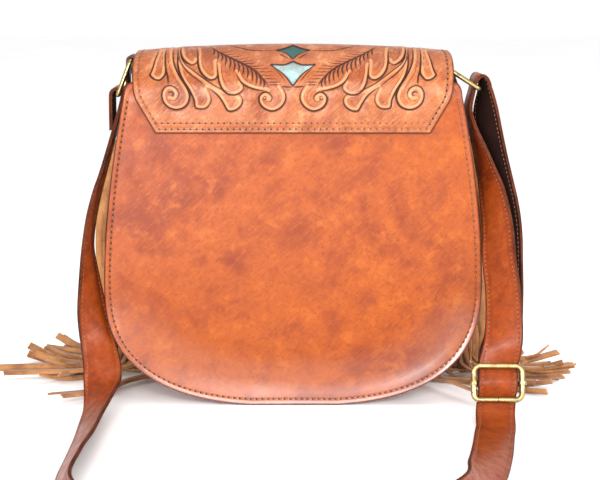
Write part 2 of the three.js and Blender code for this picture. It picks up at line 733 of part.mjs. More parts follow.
// A point at a share of an edge's length, with its outward direction.
function along(edge, share) {
  const lengths = [0];
  for (let i = 1; i < edge.length; i++) {
    lengths.push(lengths[i - 1] + Math.hypot(edge[i].x - edge[i - 1].x, edge[i].z - edge[i - 1].z));
  }
  const want = share * lengths[lengths.length - 1];
  const i = Math.max(1, lengths.findIndex((l) => l >= want));
  const t = (want - lengths[i - 1]) / (lengths[i] - lengths[i - 1]);
  const mix = (a, b) => lerp(a, b, t);
  const [a, b] = [edge[i - 1], edge[i]];
  return { x: mix(a.x, b.x), z: mix(a.z, b.z), out: { x: mix(a.out.x, b.out.x), z: mix(a.out.z, b.out.z) } };
}

// Depth at which the backing band lies: between the front panel's flare and the flap.
const bandY = (z) => DEPTH / 2 + frontBulge(z) - BAND_T / 2;

// One strip: it leaves the edge, falls, and lies out on the table with what length is left.
function strip(edge, i) {
  const share = (i + 0.5) / STRIPS;
  const start = along(edge, share);
  const side = 2 * share - 1;
  const opened = FAN_SPREAD * Math.min(1, Math.abs(side) / FAN_SHARE) ** FAN_BEND;
  const fan = rad(90 - opened + FAN_STRAY * stray(i, 1));
  const way = V(Math.sign(side) * Math.cos(fan), Math.sin(fan), 0);
  const y = bandY(start.z) + LAYER_STRAY * stray(i, 4);
  const offEdge = (reach, forward = 0) => {
    const z = Math.max(start.z + start.out.z * reach, STRIP_REST_Z + STRIP_T);
    return V(start.x + start.out.x * reach, y + forward, z);
  };
  const layer = (i % STRIP_LAYERS) * LAYER_STEP * Math.abs(start.out.x);
  const lip = offEdge(STRIP_LEAVE, STRIP_T / 2 + layer);
  const length = STRIP_LENGTH * (1 + LENGTH_STRAY * stray(i, 2)) - STRIP_LEAVE;
  const drop = Math.min(length, lip.z - STRIP_REST_Z - STRIP_T);
  const foot = V(lip.x + HANG_LEAN * drop * start.out.x, lip.y, lip.z - drop);
  const rest = length - drop;
  const falls = drop > SHORT_FALL;
  const lies = rest > SHORT_REST;
  const tangent = V(-start.out.z, 0, start.out.x);
  const hanging = V(Math.sign(start.out.x) || 1, 0, 0);
  const crosswise = V(0, 0, 1).cross(way);
  const points = [
    { at: offEdge(-BAND_WIDTH / 2), wide: tangent },
    { at: offEdge(2 * STRIP_T), wide: tangent },
    { at: lip, wide: falls ? hanging : tangent },
  ];
  if (falls) {
    const middle = lip.clone().lerp(foot, 0.5);
    const turned = crosswise.multiplyScalar(Math.sign(crosswise.dot(hanging)) || 1);
    points.push({ at: middle, wide: lies ? hanging.clone().add(turned).normalize() : hanging });
    points.push({ at: lies ? foot.clone().setZ(foot.z + STRIP_KNEE) : foot, wide: lies ? turned : hanging });
  }
  if (lies) {
    const low = STRIP_REST_Z + STRIP_T * (i % 2) + LAYER_STRAY * (1 + stray(i, 5));
    const tip = low + TIP_LIFT * (1 + stray(i, 3));
    for (const [reach, z] of [[STRIP_KNEE, low], [rest / 2, low], [rest, tip]]) {
      points.push({ at: foot.clone().addScaledVector(way, reach).setZ(z), wide: crosswise });
    }
  }
  for (let p = 1; p < points.length; p++) {
    if (points[p].wide.dot(points[p - 1].wide) < 0) {
      points[p].wide = points[p].wide.clone().negate();
    }
  }
  return solid(band(points, STRIP_WIDTH, STRIP_T));
}

function fringe() {
  const edge = fringeEdge();
  const backing = edge.map((p) => ({
    at: V(p.x - (p.out.x * BAND_WIDTH) / 2, bandY(p.z), p.z - (p.out.z * BAND_WIDTH) / 2),
    wide: V(p.out.x, 0, p.out.z),
  }));
  let whole = solid(band(backing, BAND_WIDTH, BAND_T));
  for (let i = 0; i < STRIPS; i++) {
    whole = whole.add(strip(edge, i));
  }
  // Where strips cross they can close off a small gap between them, which is left filled.
  return whole.decompose().reduce((a, b) => (a.volume() > b.volume() ? a : b));
}

// The magnetic snap that holds the flap shut: one plain disc between front panel and flap.
function snap() {
  const length = frontBulge(SNAP_Z) - CLEAR;
  const disc = new THREE.CylinderGeometry(SNAP_RADIUS, SNAP_RADIUS, length, 24);
  return disc.translate(0, DEPTH / 2 + CLEAR + length / 2, SNAP_Z);
}

// Assembly

const bag = new THREE.Group();

function piece(name, geometry, look) {
  geometry.deleteAttribute("normal");
  const mesh = new THREE.Mesh(geometry, new THREE.MeshStandardMaterial({ ...look, flatShading: true }));
  mesh.name = name;
  bag.add(mesh);
}

const flapWhole = flapSolid();
const diamond = (shrink) => pointedFigure(DIAMOND, DIAMOND_HALF_X, DIAMOND_HALF_Z, DIAMOND_ANGLE, shrink);
const kite = (shrink) => pointedFigure(KITE, KITE_HALF_X, KITE_HALF_Z, KITE_ANGLE, shrink);
const pierced = flapWhole.subtract(diamond(0)).subtract(kite(0));

piece("back_panel", panel(-1), LEATHER);
piece("front_panel", panel(1), LEATHER);
piece("gusset", gusset(), LEATHER);
piece("flap", geometryOf(pierced), LEATHER);
piece("inlay_diamond", geometryOf(flapWhole.intersect(diamond(CLEAR))), TEAL);
piece("inlay_kite", geometryOf(flapWhole.intersect(kite(CLEAR))), TURQUOISE);
piece("tab_left", ringTab(LEFT_RING), DARK_LEATHER);
piece("tab_right", ringTab(RIGHT_RING), DARK_LEATHER);
piece("ring_left", ring(LEFT_RING), BRASS);
piece("ring_right", ring(RIGHT_RING), BRASS);
piece("strap", band(smoothStations(strapRoute(), STRAP_STEP), STRAP_WIDTH, STRAP_T), LEATHER);
piece("slider_frame", sliderFrame(), BRASS);
piece("slider_bar", sliderBar(), BRASS);
piece("magnet_snap", snap(), BRASS);
piece("fringe", geometryOf(fringe()), SUEDE);

export default bag;
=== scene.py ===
"""The looks of a tooled leather crossbody bag with a suede fringe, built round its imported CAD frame.

Lengths are millimetres in the bag's own frame and become metres where a mesh is made. The bag's plain back
faces -Y, its fringed front +Y, and it stands on the plane z = 0.
"""
import json
import logging
import math
from dataclasses import dataclass, field
from enum import Enum

import bpy
import numpy as np
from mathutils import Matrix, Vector

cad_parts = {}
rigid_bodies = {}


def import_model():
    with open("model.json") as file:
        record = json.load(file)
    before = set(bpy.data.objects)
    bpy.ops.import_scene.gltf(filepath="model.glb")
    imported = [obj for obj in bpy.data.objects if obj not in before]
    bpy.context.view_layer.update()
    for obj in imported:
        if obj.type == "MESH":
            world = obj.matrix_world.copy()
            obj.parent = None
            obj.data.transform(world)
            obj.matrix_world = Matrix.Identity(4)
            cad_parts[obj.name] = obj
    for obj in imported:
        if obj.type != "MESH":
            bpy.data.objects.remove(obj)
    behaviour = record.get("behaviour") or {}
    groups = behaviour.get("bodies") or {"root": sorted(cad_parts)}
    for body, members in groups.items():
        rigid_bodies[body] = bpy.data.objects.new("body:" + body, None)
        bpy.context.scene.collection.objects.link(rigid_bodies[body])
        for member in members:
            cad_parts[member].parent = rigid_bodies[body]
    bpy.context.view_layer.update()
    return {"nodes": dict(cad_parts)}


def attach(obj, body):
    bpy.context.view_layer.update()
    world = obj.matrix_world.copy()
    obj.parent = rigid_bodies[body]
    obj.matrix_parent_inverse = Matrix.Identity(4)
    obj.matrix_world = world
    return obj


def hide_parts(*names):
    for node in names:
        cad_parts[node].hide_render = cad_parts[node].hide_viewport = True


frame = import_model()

LOG = logging.getLogger("bag")
MM = 0.001
CLEAR = 0.3  # gap between two pieces that touch
FAR_OFF = 999.0  # a place that no stroke reaches
LONG_ENOUGH = 100.0  # metres, past the end of any path
Array = np.ndarray
Point = tuple[float, float, float]


# Shapes shared by the pieces


def smoothstep(t: Array) -> Array:
    """Eased steps from 0 to 1 for values t from 0 to 1."""
    t = np.clip(t, 0.0, 1.0)
    return t * t * (3 - 2 * t)


def unit(v: Array) -> Array:
    """Vectors v, one a row, brought to length 1."""
    return v / np.maximum(np.linalg.norm(v, axis=-1, keepdims=True), 1e-9)


def spline(points: Array, step: float) -> Array:
    """A smooth curve through points.

    Args:
        points: Chosen points, one a row, with any number of columns. The first three or two are a place.
        step: Length of one straight stretch of the result, in the points' unit.

    Returns:
        Points on a centripetal Catmull-Rom curve, the first and the last as given.
    """
    p = np.asarray(points, float)
    p = np.vstack([2 * p[0] - p[1], p, 2 * p[-1] - p[-2]])
    dims = min(3, p.shape[1])
    out = []
    for i in range(1, len(p) - 2):
        quad = p[i - 1 : i + 3]
        gaps = np.maximum(np.linalg.norm(np.diff(quad[:, :dims], axis=0), axis=1), 1e-6) ** 0.5
        t0, t1, t2, t3 = 0.0, gaps[0], gaps[0] + gaps[1], gaps.sum()
        count = max(1, round(np.linalg.norm(quad[2, :dims] - quad[1, :dims]) / step))
        t = np.linspace(t1, t2, count, endpoint=False)[:, None]
        a1 = (t1 - t) / (t1 - t0) * quad[0] + (t - t0) / (t1 - t0) * quad[1]
        a2 = (t2 - t) / (t2 - t1) * quad[1] + (t - t1) / (t2 - t1) * quad[2]
        a3 = (t3 - t) / (t3 - t2) * quad[2] + (t - t2) / (t3 - t2) * quad[3]
        b1 = (t2 - t) / (t2 - t0) * a1 + (t - t0) / (t2 - t0) * a2
        b2 = (t3 - t) / (t3 - t1) * a2 + (t - t1) / (t3 - t1) * a3
        out.append((t2 - t) / (t2 - t1) * b1 + (t - t1) / (t2 - t1) * b2)
    out.append(p[-2][None])
    return np.vstack(out)


def along_path(points: Array, step: float) -> Array:
    """Points spaced evenly by about step along the straight stretches of points."""
    lengths = np.concatenate([[0], np.cumsum(np.linalg.norm(np.diff(points[:, :3], axis=0), axis=1))])
    count = max(2, round(lengths[-1] / step) + 1)
    want = np.linspace(0, lengths[-1], count)
    return np.stack([np.interp(want, lengths, points[:, c]) for c in range(points.shape[1])], axis=1)


@dataclass(frozen=True)
class BodyShape:
    """The outline that panels, gusset, flap and fringe share, with the sizes of the CAD model."""

    half_width: float = 150.5
    widest_z: float = 99.0
    top_z: float = 246.0
    top_half: float = 132.6
    side_bend: float = 5 / 3
    roundness: float = 2.6
    base_half: float = 36.0
    depth: float = 76.0
    rim_flare: float = 6.0
    flare_from: float = 0.75
    flare_top_z: float = 120.0
    crown: float = 12.5
    crown_corner: tuple = ((0.5, 0.8), (0.86, 2.6), (1.0, 7.0))
    spring_z: float = 245.0
    crown_room: float = 0.6
    camber: float = 5.3
    flap_half: float = 124.0

    @property
    def sag(self) -> float:
        """How far the round bottom would dip below the table if it weren't flattened there."""
        lift = 1 - (1 - (self.base_half / self.half_width) ** self.roundness) ** (1 / self.roundness)
        return self.widest_z * lift / (1 - lift)

    @property
    def centre_z(self) -> float:
        """Height of the point that the panels' rings draw in to."""
        return 0.48 * self.top_z

    def half(self, z: Array) -> Array:
        """Half-width of the body at heights z."""
        z = np.asarray(z, float)
        rise = np.clip((z - self.widest_z) / (self.top_z - self.widest_z), 0, None)
        fall = np.clip((self.widest_z - z) / (self.widest_z + self.sag), 0, 1)
        high = self.half_width - (self.half_width - self.top_half) * rise**self.side_bend
        low = self.half_width * (1 - fall**self.roundness) ** (1 / self.roundness)
        return np.where(z >= self.widest_z, high, low)

    def outline(self, step: float) -> Array:
        """The outline from the left end of the top edge, round the bottom, to the right end.

        Args:
            step: Spacing of its points.

        Returns:
            Rows of x and z.
        """
        z = np.linspace(self.top_z, self.widest_z, 40)
        upper = np.stack([self.half(z), z], axis=1)
        turn = np.linspace(0, math.pi / 2, 400)[1:]
        x = self.half_width * np.cos(turn) ** (2 / self.roundness)
        low = self.widest_z - (self.widest_z + self.sag) * np.sin(turn) ** (2 / self.roundness)
        lower = np.stack([x, low], axis=1)
        right = np.vstack([upper, lower[lower[:, 1] > 0], [[self.base_half, 0.0]]])
        left = right * [-1, 1]
        return along_path(np.vstack([left, right[::-1]]), step)

    def flare(self, share: Array, rim_z: Array) -> Array:
        """How far a panel leans outward at a share of the way to a rim point of height rim_z."""
        low = smoothstep((self.flare_top_z - rim_z) / self.flare_top_z)
        return self.rim_flare * low * np.clip((share - self.flare_from) / (1 - self.flare_from), 0, 1) ** 2

    def lean(self, x: Array, z: Array) -> Array:
        """How far a panel's crown leans in under the flap's arch."""
        rise = self.depth / 2 + CLEAR - self.camber * (x / self.flap_half) ** 2
        share = np.clip((z - self.spring_z) / rise, 0, 0.99)
        return self.depth / 2 * (1 - np.sqrt(1 - share**2)) + self.crown_room * np.clip(4 * share, 0, 1)


BODY = BodyShape()


def side_normals(outline: Array) -> Array:
    """Outward normals in the XZ plane along an open outline that runs from left to right below."""
    run = np.gradient(outline, axis=0)
    return unit(np.stack([run[:, 1], -run[:, 0]], axis=1))


def build_mesh(
    name: str, verts: Array, faces: list, materials: list[bpy.types.Material], slots: Array | None = None
) -> bpy.types.Object:
    """An object at the origin from points in millimetres.

    Args:
        name: Name of the object.
        verts: Points, one a row.
        faces: Lists of corner numbers.
        materials: Materials of its slots.
        slots: Slot number of each face, or none for the first slot.

    Returns:
        The object, smooth and linked to the scene.
    """
    mesh = bpy.data.meshes.new(name)
    mesh.from_pydata((np.asarray(verts, float) * MM).tolist(), [], [list(map(int, f)) for f in faces])
    for material in materials:
        mesh.materials.append(material)
    if slots is not None:
        mesh.polygons.foreach_set("material_index", np.asarray(slots, np.int32))
    mesh.polygons.foreach_set("use_smooth", np.ones(len(mesh.polygons), bool))
    mesh.validate()
    mesh.update()
    piece = bpy.data.objects.new(name, mesh)
    bpy.context.scene.collection.objects.link(piece)
    return piece


def paint(piece: bpy.types.Object, name: str, values: Array) -> None:
    """Stores one number for each point of a piece's mesh under a name that its material reads."""
    layer = piece.data.attributes.new(name, "FLOAT", "POINT")
    layer.data.foreach_set("value", np.asarray(values, np.float32))


def grid_faces(
    rows: int, columns: int, start: int = 0, flip: bool = False
) -> list[tuple[int, int, int, int]]:
    """Quads of a grid of points stored row by row from number start."""
    r, c = np.meshgrid(np.arange(rows - 1), np.arange(columns - 1), indexing="ij")
    a = (start + r * columns + c).ravel()
    quads = np.stack([a, a + 1, a + columns + 1, a + columns], axis=1)
    return (quads[:, ::-1] if flip else quads).tolist()


def sweep(places: Array, wide: Array, section: Array, closed: bool = False) -> tuple[Array, list, Array]:
    """A section carried along a path.

    Args:
        places: Path points, one a row.
        wide: The section's first direction at each point.
        section: Closed section, rows of offsets along the first direction and along the thickness.
        closed: Whether the path ends where it starts.

    Returns:
        Points, faces with the open ends capped, and each face's number in the section, -1 on a cap.
    """
    if closed:
        run = np.roll(places, -1, axis=0) - np.roll(places, 1, axis=0)
    else:
        run = np.gradient(places, axis=0)
    run = unit(run)
    w = unit(wide - (wide * run).sum(axis=1, keepdims=True) * run)
    thick = np.cross(run, w)
    n, m = len(places), len(section)
    verts = (
        places[:, None] + w[:, None] * section[None, :, :1] + thick[:, None] * section[None, :, 1:]
    ).reshape(-1, 3)
    faces, which = [], []
    for i in range(n if closed else n - 1):
        here, there = i * m, (i + 1) % n * m
        for j in range(m):
            k = (j + 1) % m
            faces.append((here + j, here + k, there + k, there + j))
            which.append(j)
    if not closed:
        faces.append(tuple(range(m - 1, -1, -1)))
        faces.append(tuple((n - 1) * m + j for j in range(m)))
        which += [-1, -1]
    area = sum(
        section[j, 0] * section[(j + 1) % m, 1] - section[(j + 1) % m, 0] * section[j, 1] for j in range(m)
    )
    if area < 0:
        faces = [f[::-1] for f in faces]
    return verts, faces, np.array(which)


# Materials


class Tree:
    """Short ways to place and join nodes."""

    tree: bpy.types.NodeTree

    def add(self, kind: str, **settings: object) -> bpy.types.Node:
        """A new node of a kind, with settings on the node itself."""
        node = self.tree.nodes.new(kind)
        for key, value in settings.items():
            setattr(node, key, value)
        return node

    def join(self, source: bpy.types.NodeSocket, target: bpy.types.NodeSocket) -> None:
        """Links two sockets."""
        self.tree.links.new(source, target)

    def feed(self, value: object, target: bpy.types.NodeSocket) -> None:
        """Links a socket to the target, or sets a plain value on it."""
        if isinstance(value, bpy.types.NodeSocket):
            self.join(value, target)
        else:
            target.default_value = value

    def step(self, kind: str, inputs: dict, **settings: object) -> bpy.types.NodeSocket:
        """The first output of a new node, its inputs linked or set by name or number."""
        node = self.add(kind, **settings)
        for key, value in inputs.items():
            self.feed(value, node.inputs[key])
        return node.outputs[0]


class Nodes(Tree):
    """The nodes of one material."""

    def __init__(self, name: str) -> None:
        """Starts an empty material with its output and its main shader."""
        self.material = bpy.data.materials.new(name)
        self.material.use_nodes = True
        self.tree = self.material.node_tree
        self.tree.nodes.clear()
        self.shader = self.add("ShaderNodeBsdfPrincipled")
        out = self.add("ShaderNodeOutputMaterial")
        self.join(self.shader.outputs["BSDF"], out.inputs["Surface"])

    def dress(self, **values: object) -> bpy.types.Material:
        """Links or sets the shader's inputs, named with _ for a space, and returns the material."""
        for key, value in values.items():
            self.feed(value, self.shader.inputs[key.replace("_", " ")])
        return self.material

    def place(self, scale: Point = (1, 1, 1), turn: Point = (0, 0, 0)) -> bpy.types.NodeSocket:
        """Object coordinates, turned and then stretched."""
        where = self.add("ShaderNodeTexCoord").outputs["Object"]
        turned = self.step(
            "ShaderNodeVectorRotate", {"Rotation": turn, "Vector": where}, rotation_type="EULER_XYZ"
        )
        return self.step("ShaderNodeVectorMath", {0: turned, 1: scale}, operation="MULTIPLY")

    def noise(
        self, where: bpy.types.NodeSocket, scale: float, detail: float = 4, rough: float = 0.55,
        warp: float = 0
    ) -> bpy.types.NodeSocket:
        """Cloudy noise at a scale in waves a metre."""
        looks = {"Scale": scale, "Detail": detail, "Roughness": rough, "Distortion": warp}
        return self.step("ShaderNodeTexNoise", {"Vector": where, **looks})

    def cells(self, where: bpy.types.NodeSocket, scale: float) -> bpy.types.NodeSocket:
        """Distance to the edges of small cells, for leather grain."""
        node = self.add("ShaderNodeTexVoronoi", feature="DISTANCE_TO_EDGE")
        self.feed(scale, node.inputs["Scale"])
        self.join(where, node.inputs["Vector"])
        return node.outputs["Distance"]

    def ramp(
        self, value: bpy.types.NodeSocket, low: float, high: float, start: float = 0, end: float = 1
    ) -> bpy.types.NodeSocket:
        """A value taken smoothly from start to end as it goes from low to high."""
        ends = {"From Min": low, "From Max": high, "To Min": start, "To Max": end}
        return self.step("ShaderNodeMapRange", {"Value": value, **ends}, interpolation_type="SMOOTHSTEP")

    def math(self, kind: str, a: object, b: object = 0.0) -> bpy.types.NodeSocket:
        """The result of one sum on two values."""
        return self.step("ShaderNodeMath", {0: a, 1: b}, operation=kind)

    def mix(self, share: object, a: object, b: object) -> bpy.types.NodeSocket:
        """Colour a changed to colour b by a share."""
        node = self.add("ShaderNodeMix", data_type="RGBA")
        self.feed(share, node.inputs[0])
        self.feed(a, node.inputs[6])
        self.feed(b, node.inputs[7])
        return node.outputs[2]

    def stain(self, tone: object, layers: tuple) -> bpy.types.NodeSocket:
        """Colours a tone over in layers.

        Args:
            tone: Colour to start from.
            layers: Rows of a pattern, its values where the layer begins and is full, its share and its colour.

        Returns:
            The stained colour.
        """
        for pattern, low, high, share, shade in layers:
            tone = self.mix(self.ramp(pattern, low, high, 0, share), tone, shade)
        return tone

    def value(self, name: str) -> bpy.types.NodeSocket:
        """A number that the mesh holds at each point."""
        node = self.add("ShaderNodeAttribute", attribute_name=name)
        return node.outputs["Fac"]

    def bump(
        self, height: bpy.types.NodeSocket, depth: float, strength: float = 1.0, over: object = None
    ) -> bpy.types.NodeSocket:
        """A bump of a depth in metres, over another one if there is one."""
        below = {} if over is None else {"Normal": over}
        return self.step(
            "ShaderNodeBump", {"Strength": strength, "Distance": depth, "Height": height, **below}
        )


def colour(red: float, green: float, blue: float) -> tuple[float, float, float, float]:
    """A linear colour from screen values of 0 to 255."""

    def line(c: float) -> float:
        """One channel."""
        c /= 255
        return c / 12.92 if c <= 0.04045 else ((c + 0.055) / 1.055) ** 2.4

    return line(red), line(green), line(blue), 1.0


@dataclass(frozen=True)
class LeatherFinish:
    """Smooth waxed leather with cloudy dye, a fine grain, scratches and a painted edge line."""

    name: str
    base: tuple = colour(136, 62, 15)
    cloud_and_shade: tuple = colour(104, 36, 8)
    pale: tuple = colour(162, 88, 34)
    edge: tuple = colour(62, 20, 10)
    carving: tuple = colour(40, 14, 8)
    cloud_size: float = 16.0
    scratch: Point = (110, 110, 900)
    rim_line: float = 4.5
    swell_height: float = 0.004
    gloss: float = 0.36
    shine: float = 0.18
    coat: float = 0.1
    grain: float = 0.00006
    tooled: bool = False

    def build(self) -> bpy.types.Material:
        """Builds the material.

        Returns:
            The leather, reading the points' rim distance and low swell, and their carving where it is tooled.
        """
        n = Nodes(self.name)
        here = n.place()
        clouds = n.noise(here, self.cloud_size, 5, 0.62, 0.6)
        small = n.noise(here, self.cloud_size * 4.2, 5, 0.6)
        fine = n.noise(here, 950, 3, 0.6)
        streak = n.noise(n.place(self.scratch, (0.0, 0.75, 0.3)), 1.0, 4, 0.65)
        cross = n.noise(n.place(self.scratch, (0.0, -0.7, 0.2)), 1.0, 4, 0.65)
        grains = n.noise(here, 320, 4, 0.7)
        rim = n.value("rim")
        beside_line = n.math("ABSOLUTE", n.math("SUBTRACT", rim, self.rim_line))
        stains = (
            (clouds, 0.46, 0.7, 0.9, self.cloud_and_shade),
            (small, 0.48, 0.7, 0.55, self.cloud_and_shade),
            (small, 0.46, 0.3, 0.4, self.pale),
            (streak, 0.5, 0.7, 0.35, self.pale),
            (cross, 0.52, 0.72, 0.3, self.cloud_and_shade),
            (grains, 0.5, 0.7, 0.45, self.cloud_and_shade),
            (fine, 0.5, 0.68, 0.3, self.cloud_and_shade),
            (rim, 1.7, 0.5, 0.92, self.edge),
            (beside_line, 0.9, 0.2, 0.3, self.cloud_and_shade),
        )
        tone = n.stain(self.base, stains)
        pores = n.cells(here, 900)
        swell = n.value("swell")
        normal = n.bump(n.ramp(pores, 0.0, 0.25), self.grain, 0.35, n.bump(swell, self.swell_height))
        normal = n.bump(n.noise(here, 60, 4, 0.6), 0.0006, 0.35, normal)
        normal = n.bump(streak, 0.00008, 0.5, normal)
        rough = n.ramp(small, 0.3, 0.75, self.gloss - 0.08, self.gloss + 0.12)
        rough = n.math("ADD", rough, n.ramp(fine, 0.4, 0.7, 0, 0.06))
        if self.tooled:
            cut = n.value("cut")
            # Painted highlight: the carving's raised inner sides are paled, partly as burnish. The cuts and a halo
            # round them are darkened, partly dye and partly painted shade.
            shades = ((n.value("lift"), 0.05, 0.5, 0.55, self.pale), (cut, 0.02, 0.35, 0.55, self.cloud_and_shade))
            tone = n.stain(tone, (*shades, (cut, 0.1, 0.6, 0.97, self.carving)))
            rough = n.math("ADD", rough, n.ramp(cut, 0.1, 0.8, 0, 0.25))
        wax = n.ramp(swell, 0.05, 0.6, self.coat, 0.95)
        n.dress(Base_Color=tone, Roughness=rough, Normal=normal, Specular_IOR_Level=self.shine)
        return n.dress(Coat_Weight=wax, Coat_Roughness=0.25)


@dataclass(frozen=True)
class FibreFinish:
    """A matt fibrous surface: suede, a leather's flesh side or its raw cut edge."""

    name: str
    base: tuple
    dark: tuple
    light: tuple
    nap: float = 0.00035
    sheen: float = 0.35
    layers: bool = False

    def build(self) -> bpy.types.Material:
        """Builds the material, with the line between two layers where the edge has one."""
        n = Nodes(self.name)
        here = n.place()
        broad = n.noise(here, 45, 4, 0.6, 0.3)
        fuzz = n.noise(here, 1400, 3, 0.7)
        hair = n.noise(n.place((500, 500, 2600)), 1.0, 3, 0.7)
        stains = (
            (broad, 0.35, 0.68, 1, self.dark), (fuzz, 0.45, 0.7, 0.55, self.light),
            (hair, 0.5, 0.75, 0.35, self.dark)
        )
        tone = n.stain(self.base, stains)
        if self.layers:
            tone = n.stain(tone, ((n.value("layer"), 0.32, 0.05, 0.7, self.dark),))
        normal = n.bump(fuzz, self.nap, 0.5, n.bump(broad, 0.0008, 0.4))
        n.dress(Base_Color=tone, Normal=normal, Roughness=0.92, Specular_IOR_Level=0.1)
        return n.dress(Sheen_Weight=self.sheen, Sheen_Roughness=0.45)


@dataclass(frozen=True)
class BrassFinish:
    """Antique brass: darkened metal whose high places are rubbed bright."""

    name: str
    bright: tuple = colour(168, 148, 102)
    dark: tuple = colour(88, 74, 48)
    gloss: float = 0.24

    def build(self) -> bpy.types.Material:
        """Builds the material."""
        n = Nodes(self.name)
        here = n.place()
        patina = n.noise(here, 120, 5, 0.65, 0.4)
        specks = n.noise(here, 900, 3, 0.6)
        tone = n.stain(
            self.bright, ((patina, 0.4, 0.7, 0.7, self.dark), (specks, 0.58, 0.75, 0.6, self.dark))
        )
        rough = n.ramp(patina, 0.3, 0.7, self.gloss, self.gloss + 0.22)
        return n.dress(Base_Color=tone, Roughness=rough, Normal=n.bump(specks, 0.00008, 0.5), Metallic=1.0)


@dataclass(frozen=True)
class InlayFinish:
    """Thin coloured leather under a cut-out, speckled where the dye is worn."""

    name: str
    base: tuple
    dark: tuple
    worn: tuple

    def build(self) -> bpy.types.Material:
        """Builds the material."""
        n = Nodes(self.name)
        here = n.place()
        clouds = n.noise(here, 90, 4, 0.6)
        specks = n.noise(here, 700, 3, 0.6)
        tone = n.stain(self.base, ((clouds, 0.35, 0.7, 1, self.dark), (specks, 0.6, 0.72, 0.6, self.worn)))
        normal = n.bump(n.cells(here, 800), 0.00006, 0.5)
        return n.dress(Base_Color=tone, Normal=normal, Roughness=n.ramp(specks, 0.4, 0.7, 0.5, 0.7))


@dataclass(frozen=True)
class ThreadFinish:
    """Waxed thread, or the shade inside a stitch hole."""

    name: str
    base: tuple
    dark: tuple
    rough: float = 0.6

    def build(self) -> bpy.types.Material:
        """Builds the material."""
        n = Nodes(self.name)
        twist = n.noise(n.place((1, 1, 1), (0.4, 0.7, 0.2)), 1600, 2, 0.6)
        tone = n.stain(self.base, ((twist, 0.35, 0.65, 1, self.dark),))
        return n.dress(Base_Color=tone, Normal=n.bump(twist, 0.0001, 0.6), Roughness=self.rough)


class Look:
    """Every finish of the bag, built once."""

    def __init__(self) -> None:
        """Builds the materials that the pieces share."""
        self.body = LeatherFinish("body_leather").build()
        # Its pale colour also paints the highlight on the carving's raised sides, and its cloud colour the shade
        # round the cuts.
        self.tooled = LeatherFinish(
            "tooled_leather_skin",
            base=colour(142, 79, 42),
            cloud_and_shade=colour(110, 48, 20),
            pale=colour(186, 130, 88),
            cloud_size=22.0,
            tooled=True,
        ).build()
        self.strap = LeatherFinish(
            "strap_leather_skin",
            base=colour(124, 52, 16),
            cloud_and_shade=colour(92, 32, 9),
            pale=colour(148, 72, 28),
            cloud_size=30.0,
            gloss=0.38,
            shine=0.12,
            coat=0.06,
        ).build()
        self.tab = LeatherFinish(
            "tab_leather", base=colour(84, 36, 18), cloud_and_shade=colour(56, 22, 12), pale=colour(112, 54, 30)
        ).build()
        self.flesh = self.fibre("flesh_side", (34, 16, 12), (22, 10, 8), (54, 28, 20), 0.0)
        self.lining = self.fibre("lining", (130, 80, 48), (92, 52, 30), (150, 100, 64), 0.1)
        self.cut = self.fibre("cut_edge", (80, 36, 22), (40, 16, 10), (128, 76, 48), 0.0, layers=True)
        self.rim = self.fibre("painted_edge", (100, 46, 24), (60, 26, 14), (136, 76, 44), 0.05)
        self.suede = self.fibre("suede_nap", (160, 110, 68), (110, 68, 38), (192, 142, 98), 0.2)
        self.brass = BrassFinish("antique_brass").build()
        self.teal = InlayFinish(
            "teal_leather", colour(10, 60, 54), colour(8, 54, 54), colour(50, 108, 98)
        ).build()
        self.turquoise = InlayFinish(
            "turquoise_leather", colour(104, 112, 110), colour(122, 152, 148), colour(182, 190, 184)
        ).build()
        self.thread = ThreadFinish("waxed_thread", colour(148, 88, 50), colour(92, 46, 24)).build()
        self.hole = ThreadFinish("stitch_hole", colour(30, 12, 8), colour(18, 8, 6), 0.8).build()

    @staticmethod
    def fibre(
        name: str, base: Point, dark: Point, light: Point, sheen: float, layers: bool = False
    ) -> bpy.types.Material:
        """A fibrous material from three screen colours."""
        return FibreFinish(
            name, colour(*base), colour(*dark), colour(*light), sheen=sheen, layers=layers
        ).build()



# What repeats along a path


class Socket(Enum):
    """Kinds of inputs that a node group has."""

    GEOMETRY = "NodeSocketGeometry"
    LENGTH = "NodeSocketFloat"
    MATERIAL = "NodeSocketMaterial"


